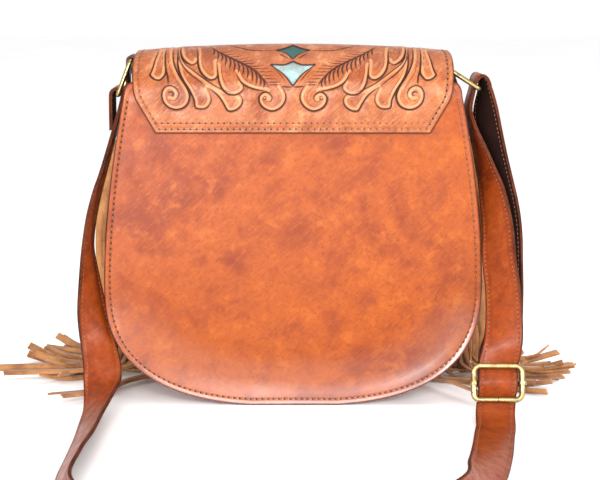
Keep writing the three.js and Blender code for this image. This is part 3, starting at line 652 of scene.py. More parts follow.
class PathTree(Tree):
    """A geometry node group with named inputs, and the way to run it on guide paths."""

    def __init__(self, name: str, inputs: dict[str, Socket]) -> None:
        """Makes the group with its inputs and one geometry output."""
        self.tree = bpy.data.node_groups.new(name, "GeometryNodeTree")
        self.ids: dict[str, str] = {}
        for key, kind in inputs.items():
            item = self.tree.interface.new_socket(key, in_out="INPUT", socket_type=kind.value)
            self.ids[key] = item.identifier
        self.tree.interface.new_socket("Geometry", in_out="OUTPUT", socket_type=Socket.GEOMETRY.value)
        self.source = self.add("NodeGroupInput").outputs
        self.result = self.add("NodeGroupOutput").inputs

    def facing(self) -> bpy.types.NodeSocket:
        """The direction that each guide point holds."""
        return self.step("GeometryNodeInputNamedAttribute", {"Name": "facing"}, data_type="FLOAT_VECTOR")

    def deliver(self, shape: bpy.types.NodeSocket) -> None:
        """Dresses the finished shape in the material and hands it out."""
        dressed = self.step(
            "GeometryNodeSetMaterial", {"Geometry": shape, "Material": self.source["Material"]}
        )
        self.join(dressed, self.result["Geometry"])

    def run(
        self, name: str, paths: list[Array], facings: list[Array], values: dict[str, object]
    ) -> bpy.types.Object:
        """Runs the group on guide paths and keeps the plain mesh.

        Args:
            name: Name of the finished piece.
            paths: Points of each path in millimetres.
            facings: Direction at each point of each path.
            values: Value of each input but the geometry.

        Returns:
            The finished piece without a modifier.
        """
        verts = np.vstack(paths)
        starts = np.cumsum([0] + [len(p) for p in paths])
        edges = [(a + i, a + i + 1) for a, p in zip(starts, paths) for i in range(len(p) - 1)]
        guide = bpy.data.meshes.new(name + "_guide")
        guide.from_pydata((verts * MM).tolist(), edges, [])
        layer = guide.attributes.new("facing", "FLOAT_VECTOR", "POINT")
        layer.data.foreach_set("vector", unit(np.vstack(facings)).astype(np.float32).ravel())
        worker = bpy.data.objects.new(name + "_worker", guide)
        bpy.context.scene.collection.objects.link(worker)
        modifier = worker.modifiers.new("path", "NODES")
        modifier.node_group = self.tree
        for key, value in values.items():
            modifier[self.ids[key]] = value
        bpy.context.view_layer.update()
        seen = worker.evaluated_get(bpy.context.evaluated_depsgraph_get())
        mesh = bpy.data.meshes.new_from_object(seen)
        mesh.name = name
        worker.modifiers.clear()
        bpy.data.objects.remove(worker)
        piece = bpy.data.objects.new(name, mesh)
        bpy.context.scene.collection.objects.link(piece)
        return piece


class GrainTree(PathTree):
    """Small round-ended grains, such as stitches or their holes, at a pitch along each path."""

    def __init__(self) -> None:
        """Builds the group: resample, turn to the path, place, realize, dress."""
        sizes = ("Pitch", "Shift", "Length", "Width", "Height")
        inputs = {
            "Geometry": Socket.GEOMETRY, **{s: Socket.LENGTH for s in sizes}, "Material": Socket.MATERIAL
        }
        super().__init__("grains_on_paths", inputs)
        src = self.source
        curve = self.step("GeometryNodeMeshToCurve", {"Mesh": src["Geometry"]})
        trimmed = self.step(
            "GeometryNodeTrimCurve", {0: curve, 4: src["Shift"], 5: LONG_ENOUGH}, mode="LENGTH"
        )
        even = self.step(
            "GeometryNodeResampleCurve", {"Curve": trimmed, "Length": src["Pitch"]}, mode="LENGTH"
        )
        axes = {"Primary Axis": self.step("GeometryNodeInputTangent", {}), "Secondary Axis": self.facing()}
        turn = self.step("FunctionNodeAxesToRotation", axes, primary_axis="X", secondary_axis="Z")
        grain = self.step("GeometryNodeMeshUVSphere", {"Segments": 6, "Rings": 4, "Radius": 0.5})
        size = self.step("ShaderNodeCombineXYZ", {"X": src["Length"], "Y": src["Width"], "Z": src["Height"]})
        spots = {"Points": even, "Instance": grain, "Rotation": turn, "Scale": size}
        real = self.step(
            "GeometryNodeRealizeInstances", {"Geometry": self.step("GeometryNodeInstanceOnPoints", spots)}
        )
        self.deliver(self.step("GeometryNodeSetShadeSmooth", {"Geometry": real}))


class StripTree(PathTree):
    """Flat strips along the paths, their faces turned to each path's facing direction."""

    def __init__(self) -> None:
        """Builds the group: path to curve, own normals, flat section, realize, dress."""
        sizes = {"Width": Socket.LENGTH, "Thickness": Socket.LENGTH}
        super().__init__(
            "strips_on_paths", {"Geometry": Socket.GEOMETRY, **sizes, "Material": Socket.MATERIAL}
        )
        src = self.source
        curve = self.step("GeometryNodeMeshToCurve", {"Mesh": src["Geometry"]})
        faced = self.step(
            "GeometryNodeSetCurveNormal", {"Curve": curve, "Normal": self.facing()}, mode="FREE"
        )
        sides = {"Width": src["Thickness"], "Height": src["Width"]}
        section = self.step("GeometryNodeCurvePrimitiveQuadrilateral", sides)
        skin = self.step(
            "GeometryNodeCurveToMesh", {"Curve": faced, "Profile Curve": section, "Fill Caps": True}
        )
        self.deliver(self.step("GeometryNodeRealizeInstances", {"Geometry": skin}))


@dataclass
class Seam:
    """Rows of stitches: pale thread over the leather and a dark hole at each of its ends."""

    look: Look
    grains: GrainTree
    pitch: float = 4.5
    thread: float = 1.0
    hole: float = 2.1

    def sew(self, name: str, paths: list[Array], facings: list[Array], slot: str) -> list[bpy.types.Object]:
        """Sews rows.

        Args:
            name: Name that both pieces start with.
            paths: Rows on the leather's surface.
            facings: Direction out of the leather along each row.
            slot: Material slot of the leather that is sewn; not used.

        Returns:
            The threads and the holes.
        """
        thread, hole = self.thread, self.hole
        kinds = {
            "_thread": (self.pitch / 2, (0.66 * self.pitch, thread, thread), self.look.thread),
            "_holes": (0.0, (hole, 0.8 * hole, 0.3 * hole), self.look.hole),
        }
        pieces = []
        for ending, (shift, size, material) in kinds.items():
            sizes = dict(zip(("Pitch", "Shift", "Length", "Width", "Height"), (self.pitch, shift, *size)))
            values = {key: value * MM for key, value in sizes.items()}
            piece = self.grains.run(name + ending, paths, facings, {**values, "Material": material})
            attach(piece, "root")
            pieces.append(piece)
        return pieces


# Pieces


class Side(Enum):
    """The two broad sides of the bag."""

    BACK = -1
    FRONT = 1


@dataclass
class Panel:
    """A broad side of the body: smooth leather with a flared low rim and a row of stitches."""

    look: Look
    seam: Seam
    side: Side
    thickness: float = 2.5
    step: float = 3.0
    inset: float = 4.6
    swell: float = 0.45

    def rim_points(self) -> Array:
        """The closed rim: sides and bottom, then back along the top edge."""
        rim = BODY.outline(self.step)
        corner = [
            (BODY.top_half - inward, BODY.top_z + share * BODY.crown) for share, inward in BODY.crown_corner
        ]
        crown = np.array(
            [
                (BODY.top_half, BODY.top_z), *corner, *((-x, z) for x, z in corner[::-1]),
                (-BODY.top_half, BODY.top_z)
            ]
        )
        return np.vstack([rim, along_path(crown, self.step)[1:-1]])

    def surface(self, rim: Array, share: Array) -> Array:
        """Points of the outer face at shares of the way from the centre to rim points."""
        x = rim[:, 0] * share
        z = BODY.centre_z + (rim[:, 1] - BODY.centre_z) * share
        slack = 0.5 * np.sin(x / 31 + 1.3) * np.sin(z / 37 + 0.4) * (1 - share**4)
        y = self.side.value * (BODY.depth / 2 + BODY.flare(share, rim[:, 1]) - BODY.lean(x, z) + slack * 0.6)
        return np.stack([x, y, z], axis=1)

    def build(self) -> list[bpy.types.Object]:
        """Builds the panel and its seam.

        Returns:
            The panel, its threads and its holes.
        """
        rim = self.rim_points()
        reach = np.hypot(rim[:, 0], rim[:, 1] - BODY.centre_z)
        edge = self.thickness / 4
        rows = (0.04, 0.2, 0.35, 0.5, 0.6, 0.68, 0.75, 0.79, 0.83, 0.87, 0.9, 0.92)
        insets = [6.5, 5.2, 4.6, 4.0, 3.0, 1.6, 0.8, 0.3, 0.0]
        verts, rims = [], []
        back = self.side.value
        for share in rows:
            verts.append(self.surface(rim, np.full(len(rim), share)))
            rims.append(reach * (1 - share))
        line_depth, line_width, round_width = 0.35, 0.7, 0.8
        for inset in insets:
            line = line_depth * math.exp(-(((inset - self.inset) / line_width) ** 2))
            rounding = edge * (1 - min(1.0, inset / round_width)) ** 2
            row = self.surface(rim, 1 - inset / reach)
            row[:, 1] -= back * (line + rounding)
            verts.append(row)
            rims.append(np.full(len(rim), inset))
        for deep, inset in ((0.75, 0.0), (1.0, 0.6), (1.0, 8.0)):
            row = self.surface(rim, 1 - inset / reach)
            row[:, 1] -= back * self.thickness * deep
            verts.append(row)
            rims.append(np.full(len(rim), inset))
        for share in (0.75, 0.4, 0.05):
            row = self.surface(rim, np.full(len(rim), share))
            row[:, 1] -= back * self.thickness
            verts.append(row)
            rims.append(reach * (1 - share))
        n = len(rim)
        rings = len(verts)
        faces, slots = [], []
        outer = len(rows) + len(insets)
        for r in range(rings - 1):
            for i in range(n):
                j = (i + 1) % n
                quad = (r * n + i, r * n + j, (r + 1) * n + j, (r + 1) * n + i)
                faces.append(quad if back < 0 else quad[::-1])
                slots.append(0 if r < outer - 1 else 1 if r < outer + 1 else 2)
        caps = [tuple(range(n)), tuple((rings - 1) * n + i for i in range(n))]
        faces += [caps[0][::-1] if back < 0 else caps[0], caps[1] if back < 0 else caps[1][::-1]]
        slots += [0, 2]
        name = self.side.name.lower() + "_panel"
        panel = build_mesh(
            name + "_skin", np.vstack(verts), faces, [self.look.body, self.look.rim, self.look.lining], slots
        )
        paint(panel, "rim", np.concatenate(rims))
        insides = np.concatenate(rims) / np.tile(reach, rings)
        paint(
            panel, "swell",
            smoothstep(1 - insides / self.swell) * np.tile(smoothstep((110 - rim[:, 1]) / 90), rings)
        )
        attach(panel, "root")
        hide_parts(name)
        low = BODY.outline(self.step)
        row = self.surface(low, 1 - self.inset / np.hypot(low[:, 0], low[:, 1] - BODY.centre_z))
        row[:, 1] -= back * 0.1
        return [panel, *self.seam.sew(name, [row], [np.tile([0.0, back, 0.0], (len(row), 1))], "leather")]


@dataclass
class Gusset:
    """The strip of leather that joins the panels, its flanges sewn under their rims."""

    look: Look
    panel_thickness: float = 2.5
    thickness: float = 2.0
    inset: float = 1.0
    flange: float = 10.0

    def build(self) -> list[bpy.types.Object]:
        """Builds the gusset."""
        rim = BODY.outline(4.0)
        out = side_normals(rim)
        reach = np.hypot(rim[:, 0], rim[:, 1] - BODY.centre_z)
        flat = rim[:, 1] < 1e-6
        web = np.where(flat, 0.0, self.inset)

        def at(inset: Array, y: Array) -> Array:
            """Points at an inset from the outline and a depth."""
            x = rim[:, 0] - inset * out[:, 0]
            z = rim[:, 1] - inset * out[:, 1]
            z = np.maximum(z, np.where(flat, inset, 0.0))
            return np.stack([x, y, z], axis=1)

        def level(inset: Array) -> Array:
            """Depth of the panel's inner face at an inset."""
            return BODY.depth / 2 - self.panel_thickness - CLEAR + BODY.flare(1 - inset / reach, rim[:, 1])

        rows, rims = [], []
        tip = web + self.flange
        inside = web + self.thickness
        half = level(web)
        rows.append(at(tip, -level(tip)))
        rims.append(np.full(len(rim), 9.0))
        for share in (-1.0, -0.97, -0.85, -0.5, 0.0, 0.5, 0.85, 0.97, 1.0):
            hug = 0.25 * (1 - abs(share) ** 6)
            rows.append(at(web + hug, share * half))
            rims.append(np.full(len(rim), 20 * (1 - abs(share)) + 0.4))
        rows.append(at(tip, level(tip)))
        rows.append(at(tip, level(tip) - self.thickness))
        rows.append(at(inside, level(inside) - self.thickness))
        rows.append(at(inside, self.thickness - level(inside)))
        rows.append(at(tip, self.thickness - level(tip)))
        rims += [np.full(len(rim), 9.0)] * 5
        m, n = len(rows), len(rim)
        faces, slots = [], []
        for j in range(m):
            k = (j + 1) % m
            for i in range(n - 1):
                faces.append((j * n + i, k * n + i, k * n + i + 1, j * n + i + 1))
                slots.append(0 if j < 10 else 1)
        faces += [tuple(j * n for j in range(m))[::-1], tuple(j * n + n - 1 for j in range(m))]
        slots += [1, 1]
        piece = build_mesh("gusset_skin", np.vstack(rows), faces, [self.look.body, self.look.lining], slots)
        paint(piece, "rim", np.concatenate(rims))
        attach(piece, "root")
        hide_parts("gusset")
        return [piece]


@dataclass(frozen=True)
class Stroke:
    """One cut of the carving knife on the left half of the flap.

    points are chosen places on the flap: x, and the way up from the tab's edge. A contour's inner side lies on
    its left (1) or right (-1) as it is drawn, and is 0 for a plain cut.
    """

    points: tuple[tuple[float, float], ...]
    width: float = 0.55
    depth: float = 0.5
    inside: int = 0


LEAF_WORK = (
    Stroke(
        (
            (-100.8, 84), (-100.6, 70), (-100, 60), (-99.4, 50), (-101, 46.5), (-104, 43.6), (-107.3, 44.2),
            (-110, 46.4), (-111.6, 49), (-110.6, 52), (-109.4, 57), (-108.4, 64), (-107, 73), (-106.4, 84)
        ),
        0.65, 0.6, -1
    ),
    Stroke(((-103.2, 82), (-102.6, 68), (-102, 58), (-103, 53), (-105.5, 49.8), (-108.2, 49.4)), 0.35, 0.25),
    Stroke(((-105.5, 70), (-106.2, 60), (-107.2, 55), (-108.2, 51.6)), 0.35, 0.2),
    Stroke(((-100, 57), (-98.5, 50), (-97.5, 45), (-97.2, 39)), 0.6, 0.5),
    Stroke(
        (
            (-95.2, 86), (-94.6, 72), (-93.6, 62), (-91.5, 54), (-88.5, 47), (-85, 41), (-82, 35.5),
            (-80.5, 31), (-80.7, 26.5), (-83, 22), (-87, 19.4), (-92, 18.7), (-97, 20.5), (-100.5, 24),
            (-102, 28.4), (-101.9, 33), (-100, 36.8), (-97, 38.5), (-93.6, 38), (-90.6, 35.6), (-89, 31.6),
            (-90.2, 27.6), (-93, 25.6), (-95.5, 26.5)
        ),
        0.7, 0.6, -1
    ),
    Stroke(((-97.2, 31.2), (-96.4, 33), (-94.4, 33.1), (-93, 31.4), (-93.8, 30), (-95.2, 30.2)), 0.55, 0.5),
    Stroke(
        (
            (-98.4, 80), (-97.6, 62), (-95.6, 52), (-93, 46), (-89.5, 40), (-87, 34), (-86.2, 29),
            (-88.2, 25), (-92, 22.4), (-96, 23.6), (-98.4, 27), (-98.9, 31)
        ),
        0.35, 0.25
    ),
    Stroke(((-96.8, 70), (-95.2, 58), (-92.4, 50), (-88, 43), (-84.6, 36), (-83.4, 30)), 0.3, 0.2),
    Stroke(
        (
            (-91.2, 86), (-90.6, 68), (-90, 57), (-88, 48.5), (-85, 41.8), (-81.6, 36), (-79, 31), (-77, 26),
            (-76, 20.4), (-73, 19.3), (-70, 19.3), (-67, 20.5), (-64.6, 23.5), (-63.7, 27), (-64.6, 31),
            (-66.6, 35)
        ),
        0.65, 0.6, 1
    ),
    Stroke(
        (
            (-66.6, 35), (-70.4, 39.7), (-75, 43.6), (-79.6, 47.6), (-83.6, 52.2), (-87, 58), (-89, 64),
            (-90, 74)
        ),
        0.5, 0.45
    ),
    Stroke(((-88.4, 56), (-84, 45.6), (-79.6, 38.6), (-76, 31.5), (-74.6, 26), (-73.2, 23)), 0.35, 0.25),
    Stroke(((-70, 25.6), (-71.4, 24)), 0.4, 0.3),
    Stroke(
        (
            (-66.4, 36.4), (-62, 33.2), (-58, 29.4), (-54.4, 24), (-50.6, 17.8), (-47, 17.6), (-43.5, 19),
            (-40.4, 22), (-39.3, 25.6), (-40.3, 29), (-42.6, 30.6)
        ),
        0.65, 0.6, 1
    ),
    Stroke(
        (
            (-46.4, 31.6), (-52, 33.6), (-58, 36.2), (-64, 39.8), (-71, 45.4), (-78, 51.6), (-84, 58),
            (-87.6, 66), (-88.6, 78)
        ),
        0.5, 0.45, 1
    ),
    Stroke(((-47, 29.6), (-45.5, 26), (-47.3, 22.4), (-50, 20.8)), 0.35, 0.25),
    Stroke(((-60, 33.6), (-67, 39.2), (-75, 46), (-82, 53)), 0.3, 0.2),
    Stroke(
        ((-89.3, 88), (-88.6, 74), (-86.6, 65.6), (-83, 60.2), (-79.5, 57.8), (-76.2, 59), (-74.8, 62.6)),
        0.6, 0.6, 1
    ),
    Stroke(((-84.4, 84), (-83.8, 72), (-81.6, 65.6), (-78.6, 62.6)), 0.35, 0.25),
    Stroke(((-80.4, 86), (-79.8, 74), (-78, 67.6)), 0.35, 0.25),
    Stroke(
        (
            (-75.6, 80), (-74.8, 69), (-74.4, 59), (-72.6, 51.4), (-69, 46), (-64.6, 43), (-61.2, 43.4),
            (-58.9, 46), (-58.9, 51), (-59.7, 60)
        ),
        0.65, 0.6, 1
    ),
    Stroke(((-72.4, 68), (-70.6, 56.4), (-67.2, 50.2), (-63.2, 47), (-60.6, 48.2)), 0.35, 0.25),
    Stroke(((-69.2, 60), (-66.2, 52.8), (-62.6, 50.2)), 0.3, 0.2),
    Stroke(
        (
            (-59.4, 56), (-58.4, 46.4), (-57, 39.4), (-54, 33.7), (-50, 30.8), (-45.5, 30.3), (-41.2, 32),
            (-38.6, 35.2), (-38.8, 38), (-40.2, 40.2)
        ),
        0.65, 0.6, 1
    ),
    Stroke(((-56.6, 60), (-55.2, 46.6), (-52.2, 39), (-49, 36.2), (-45.6, 36.4)), 0.35, 0.25),
    Stroke(((-53.4, 62), (-52.6, 51), (-50.4, 42.4)), 0.3, 0.2),
    Stroke(
        ((-44.2, 48.4), (-42.5, 44), (-40, 40.2), (-36, 37.2), (-31, 35.1), (-25, 33.8), (-20.6, 33.3)), 0.6,
        0.55, 1
    ),
    Stroke(((-40.6, 49.2), (-38, 44.2), (-34, 40.4), (-28, 37.8), (-23, 37.2)), 0.3, 0.2),
    Stroke(
        (
            (-9.8, 38), (-7.4, 34.6), (-5.8, 31), (-5.6, 27), (-7.6, 22.5), (-11, 19.3), (-15.5, 17.6),
            (-20, 18.4), (-24, 21), (-26.4, 25), (-26.3, 29), (-24, 31.8), (-20.8, 32.5), (-18, 31),
            (-16.3, 28.5), (-17, 25.8), (-19.3, 24.9), (-20.9, 26)
        ),
        0.7, 0.6, -1
    ),
    Stroke(((-22.6, 29), (-21, 28.4), (-21.4, 26.8), (-23, 27), (-23, 28.4)), 0.4, 0.4),
    Stroke(((-15.6, 35.4), (-11.8, 31), (-10.8, 27), (-12.7, 23), (-16.6, 20.9), (-20.6, 21.9)), 0.35, 0.25),
    Stroke(((-9.6, 37.1), (-5, 36.6), (0, 36.4)), 0.6, 0.4),
    Stroke(((-11, 35.2), (-5, 34.8), (0, 34.7)), 0.35, 0.2),
    Stroke(((-54, 88), (-47, 82), (-40, 77), (-34, 74), (-27, 72.6), (-20, 72.4), (-13.4, 72.6)), 0.6, 0.5),
    Stroke(((-50, 89), (-43, 84), (-36, 79), (-30, 76), (-22, 75.6), (-15, 75.4)), 0.35, 0.2),
    Stroke(((-15.4, 52.4), (-9.4, 46), (-5.4, 40.4)), 0.45, 0.35),
    Stroke(((-17.6, 51), (-12, 45.4), (-8.4, 41)), 0.3, 0.2),
    Stroke(((-11.6, 69), (-7.6, 65), (-3.4, 61.4)), 0.7, 0.3),
    Stroke(
        (
            (-67, 86), (-63, 78), (-58, 71.6), (-52, 66), (-46, 61.4), (-40, 57.4), (-34, 53.4), (-28.6, 49),
            (-24, 44), (-20.8, 40), (-18.6, 35)
        ),
        0.75, 0.6
    ),
)
LOWER_BARBS = (
    ((-63, 77.6), (-62, 72), (-62.6, 67)),
    ((-60, 73.8), (-58.6, 68), (-59.2, 62)),
    ((-57, 70.8), (-55.4, 65), (-56, 59.6)),
    ((-54, 68), (-52.4, 62), (-53, 55)),
    ((-50.6, 65), (-48.8, 59), (-49.8, 51)),
    ((-47.4, 62.4), (-45.4, 56), (-46.4, 49)),
    ((-44, 60), (-42, 54), (-42.8, 48)),
    ((-40.6, 57.8), (-38.4, 52), (-39.4, 46)),
    ((-37.2, 55.6), (-35, 50), (-35.8, 43)),
    ((-33.8, 53.2), (-31.6, 47.6), (-32, 40.4)),
    ((-30.4, 50.6), (-28.2, 45), (-28.8, 38.4)),
    ((-27.2, 47.6), (-25, 42.4), (-25.6, 37)),
    ((-24.2, 44.2), (-22.2, 40), (-22.8, 35.6)),
)
UPPER_BARBS = (
    ((-58, 72), (-52, 71), (-47, 73)),
    ((-54.6, 68.6), (-48.6, 67.6), (-43, 70)),
    ((-51, 65.4), (-45, 64.6), (-39, 66.6)),
    ((-47.4, 62.6), (-41.4, 61.8), (-35, 63.4)),
    ((-43.8, 60), (-37.6, 59.2), (-31, 60.6)),
    ((-40.2, 57.6), (-34, 56.8), (-27, 58)),
    ((-36.6, 55.2), (-30, 54.2), (-22.6, 55)),
    ((-33, 52.6), (-26, 51.6), (-18.6, 52)),
    ((-29.6, 49.8), (-22.4, 48.8), (-16, 49)),
    ((-26.6, 46.8), (-20, 45.8), (-14, 46)),
    ((-23.8, 43.8), (-17, 43), (-11.4, 43)),
    ((-21.4, 40.8), (-15, 40.4), (-9.6, 40.2)),
    ((-20, 38.6), (-14.6, 38.2), (-10, 38.2)),
)


@dataclass
class Tooling:
    """The carved relief as two fields over the flap: how deep the leather is cut, and how high it stands."""

    strokes: tuple[Stroke, ...] = LEAF_WORK
    lower: tuple = LOWER_BARBS
    upper: tuple = UPPER_BARBS
    bevel: float = 2.4
    bevel_depth: float = 0.75

    def all_strokes(self) -> list[Stroke]:
        """The strokes and the feather's barbs."""
        barbs = [Stroke(points, 0.6, 0.45) for points in self.lower]
        return [*self.strokes, *barbs, *(Stroke(points, 0.4, 0.35) for points in self.upper)]

    def fields(self, x: Array, s: Array) -> tuple[Array, Array, Array]:
        """Evaluates the carving.

        Args:
            x: Distance from the middle line at each point.
            s: Way up from the tab's edge at each point, in the frame of the strokes.

        Returns:
            Height, cut share (darkened: dye and painted shade) and raised share (paled: painted highlight, partly
            burnish) at each point.
        """
        across = -np.abs(x)
        height = np.zeros_like(x)
        cut = np.zeros_like(x)
        lift = np.zeros_like(x)
        for stroke in self.all_strokes():
            line = spline(np.array(stroke.points, float), 0.8)
            near = self.bevel * 2 + 1
            low, high = line.min(axis=0) - near, line.max(axis=0) + near
            pick = np.flatnonzero((across > low[0]) & (across < high[0]) & (s > low[1]) & (s < high[1]))
            if not len(pick):
                continue
            p = np.stack([across[pick], s[pick]], axis=1)
            a, b = line[:-1], line[1:]
            run = b - a
            best = np.full(len(pick), 1e9)
            side = np.zeros(len(pick))
            share = np.zeros(len(pick))
            for i in range(len(a)):
                t = np.clip(((p - a[i]) @ run[i]) / (run[i] @ run[i]), 0, 1)
                off = p - a[i] - t[:, None] * run[i]
                d = np.hypot(off[:, 0], off[:, 1])
                better = d < best
                best[better] = d[better]
                cross = run[i][0] * off[:, 1] - run[i][1] * off[:, 0]
                side[better] = np.sign(cross[better])
                share[better] = (i + t[better]) / len(a)
            taper = np.clip(np.sin(np.pi * np.clip(share, 0.02, 0.98)), 0, 1) ** 0.4
            groove = np.exp(-((best / (stroke.width * (0.5 + 0.5 * taper))) ** 2)) * taper
            height[pick] -= stroke.depth * groove
            cut[pick] = np.maximum(cut[pick], groove * min(1.0, stroke.depth / 0.5))
            if stroke.inside:
                inner = side * stroke.inside > 0
                fade = np.exp(-best / self.bevel)
                drop = np.where(inner, 0.0, -self.bevel_depth * fade * taper)
                rise = np.where(inner, 0.35 * smoothstep(best / 1.6) * np.exp(-best / 6), 0.0)
                height[pick] += drop + rise
                # The raised inner side of a contour, which the leather pales as a painted highlight, partly
                # burnish.
                lift[pick] = np.maximum(lift[pick], np.where(inner, np.exp(-(((best - 1.4) / 1.1) ** 2)), 0))
        return height, cut, lift


@dataclass(frozen=True)
class Inlay:
    """A pointed figure with hollow sides that is cut out of the flap over coloured leather."""

    name: str
    corners: tuple[tuple[float, float], ...]
    half_x: float
    half_s: float
    centre_s: float
    hollow: float = 0.8

    def figure(self) -> Array:
        """The figure's outline on the flap: x and the way up from the tab's edge."""
        points = []
        for (u, v), (nu, nv) in zip(self.corners, self.corners[1:] + self.corners[:1]):
            for t in np.linspace(0, 1, 12, endpoint=False):
                bow = 1 - (1 - self.hollow) * math.sin(math.pi * t)
                points.append(
                    (
                        self.half_x * ((1 - t) * u + t * nu) * bow,
                        self.centre_s + self.half_s * ((1 - t) * v + t * nv) * bow
                    )
                )
        return np.array(points)


def inside_of(figure: Array, x: Array, s: Array) -> tuple[Array, Array]:
    """Tests points against a closed figure.

    Returns:
        Whether each point is inside, and its distance to the outline.
    """
    within = np.zeros(len(x), bool)
    best = np.full(len(x), 1e9)
    for a, b in zip(figure, np.roll(figure, -1, axis=0)):
        crosses = (a[1] > s) != (b[1] > s)
        with np.errstate(divide="ignore", invalid="ignore"):
            at = (b[0] - a[0]) * (s - a[1]) / (b[1] - a[1]) + a[0]
        within ^= crosses & (x < at)
        run = b - a
        t = np.clip(((x - a[0]) * run[0] + (s - a[1]) * run[1]) / (run @ run), 0, 1)
        best = np.minimum(best, np.hypot(x - a[0] - t * run[0], s - a[1] - t * run[1]))
    return within, best


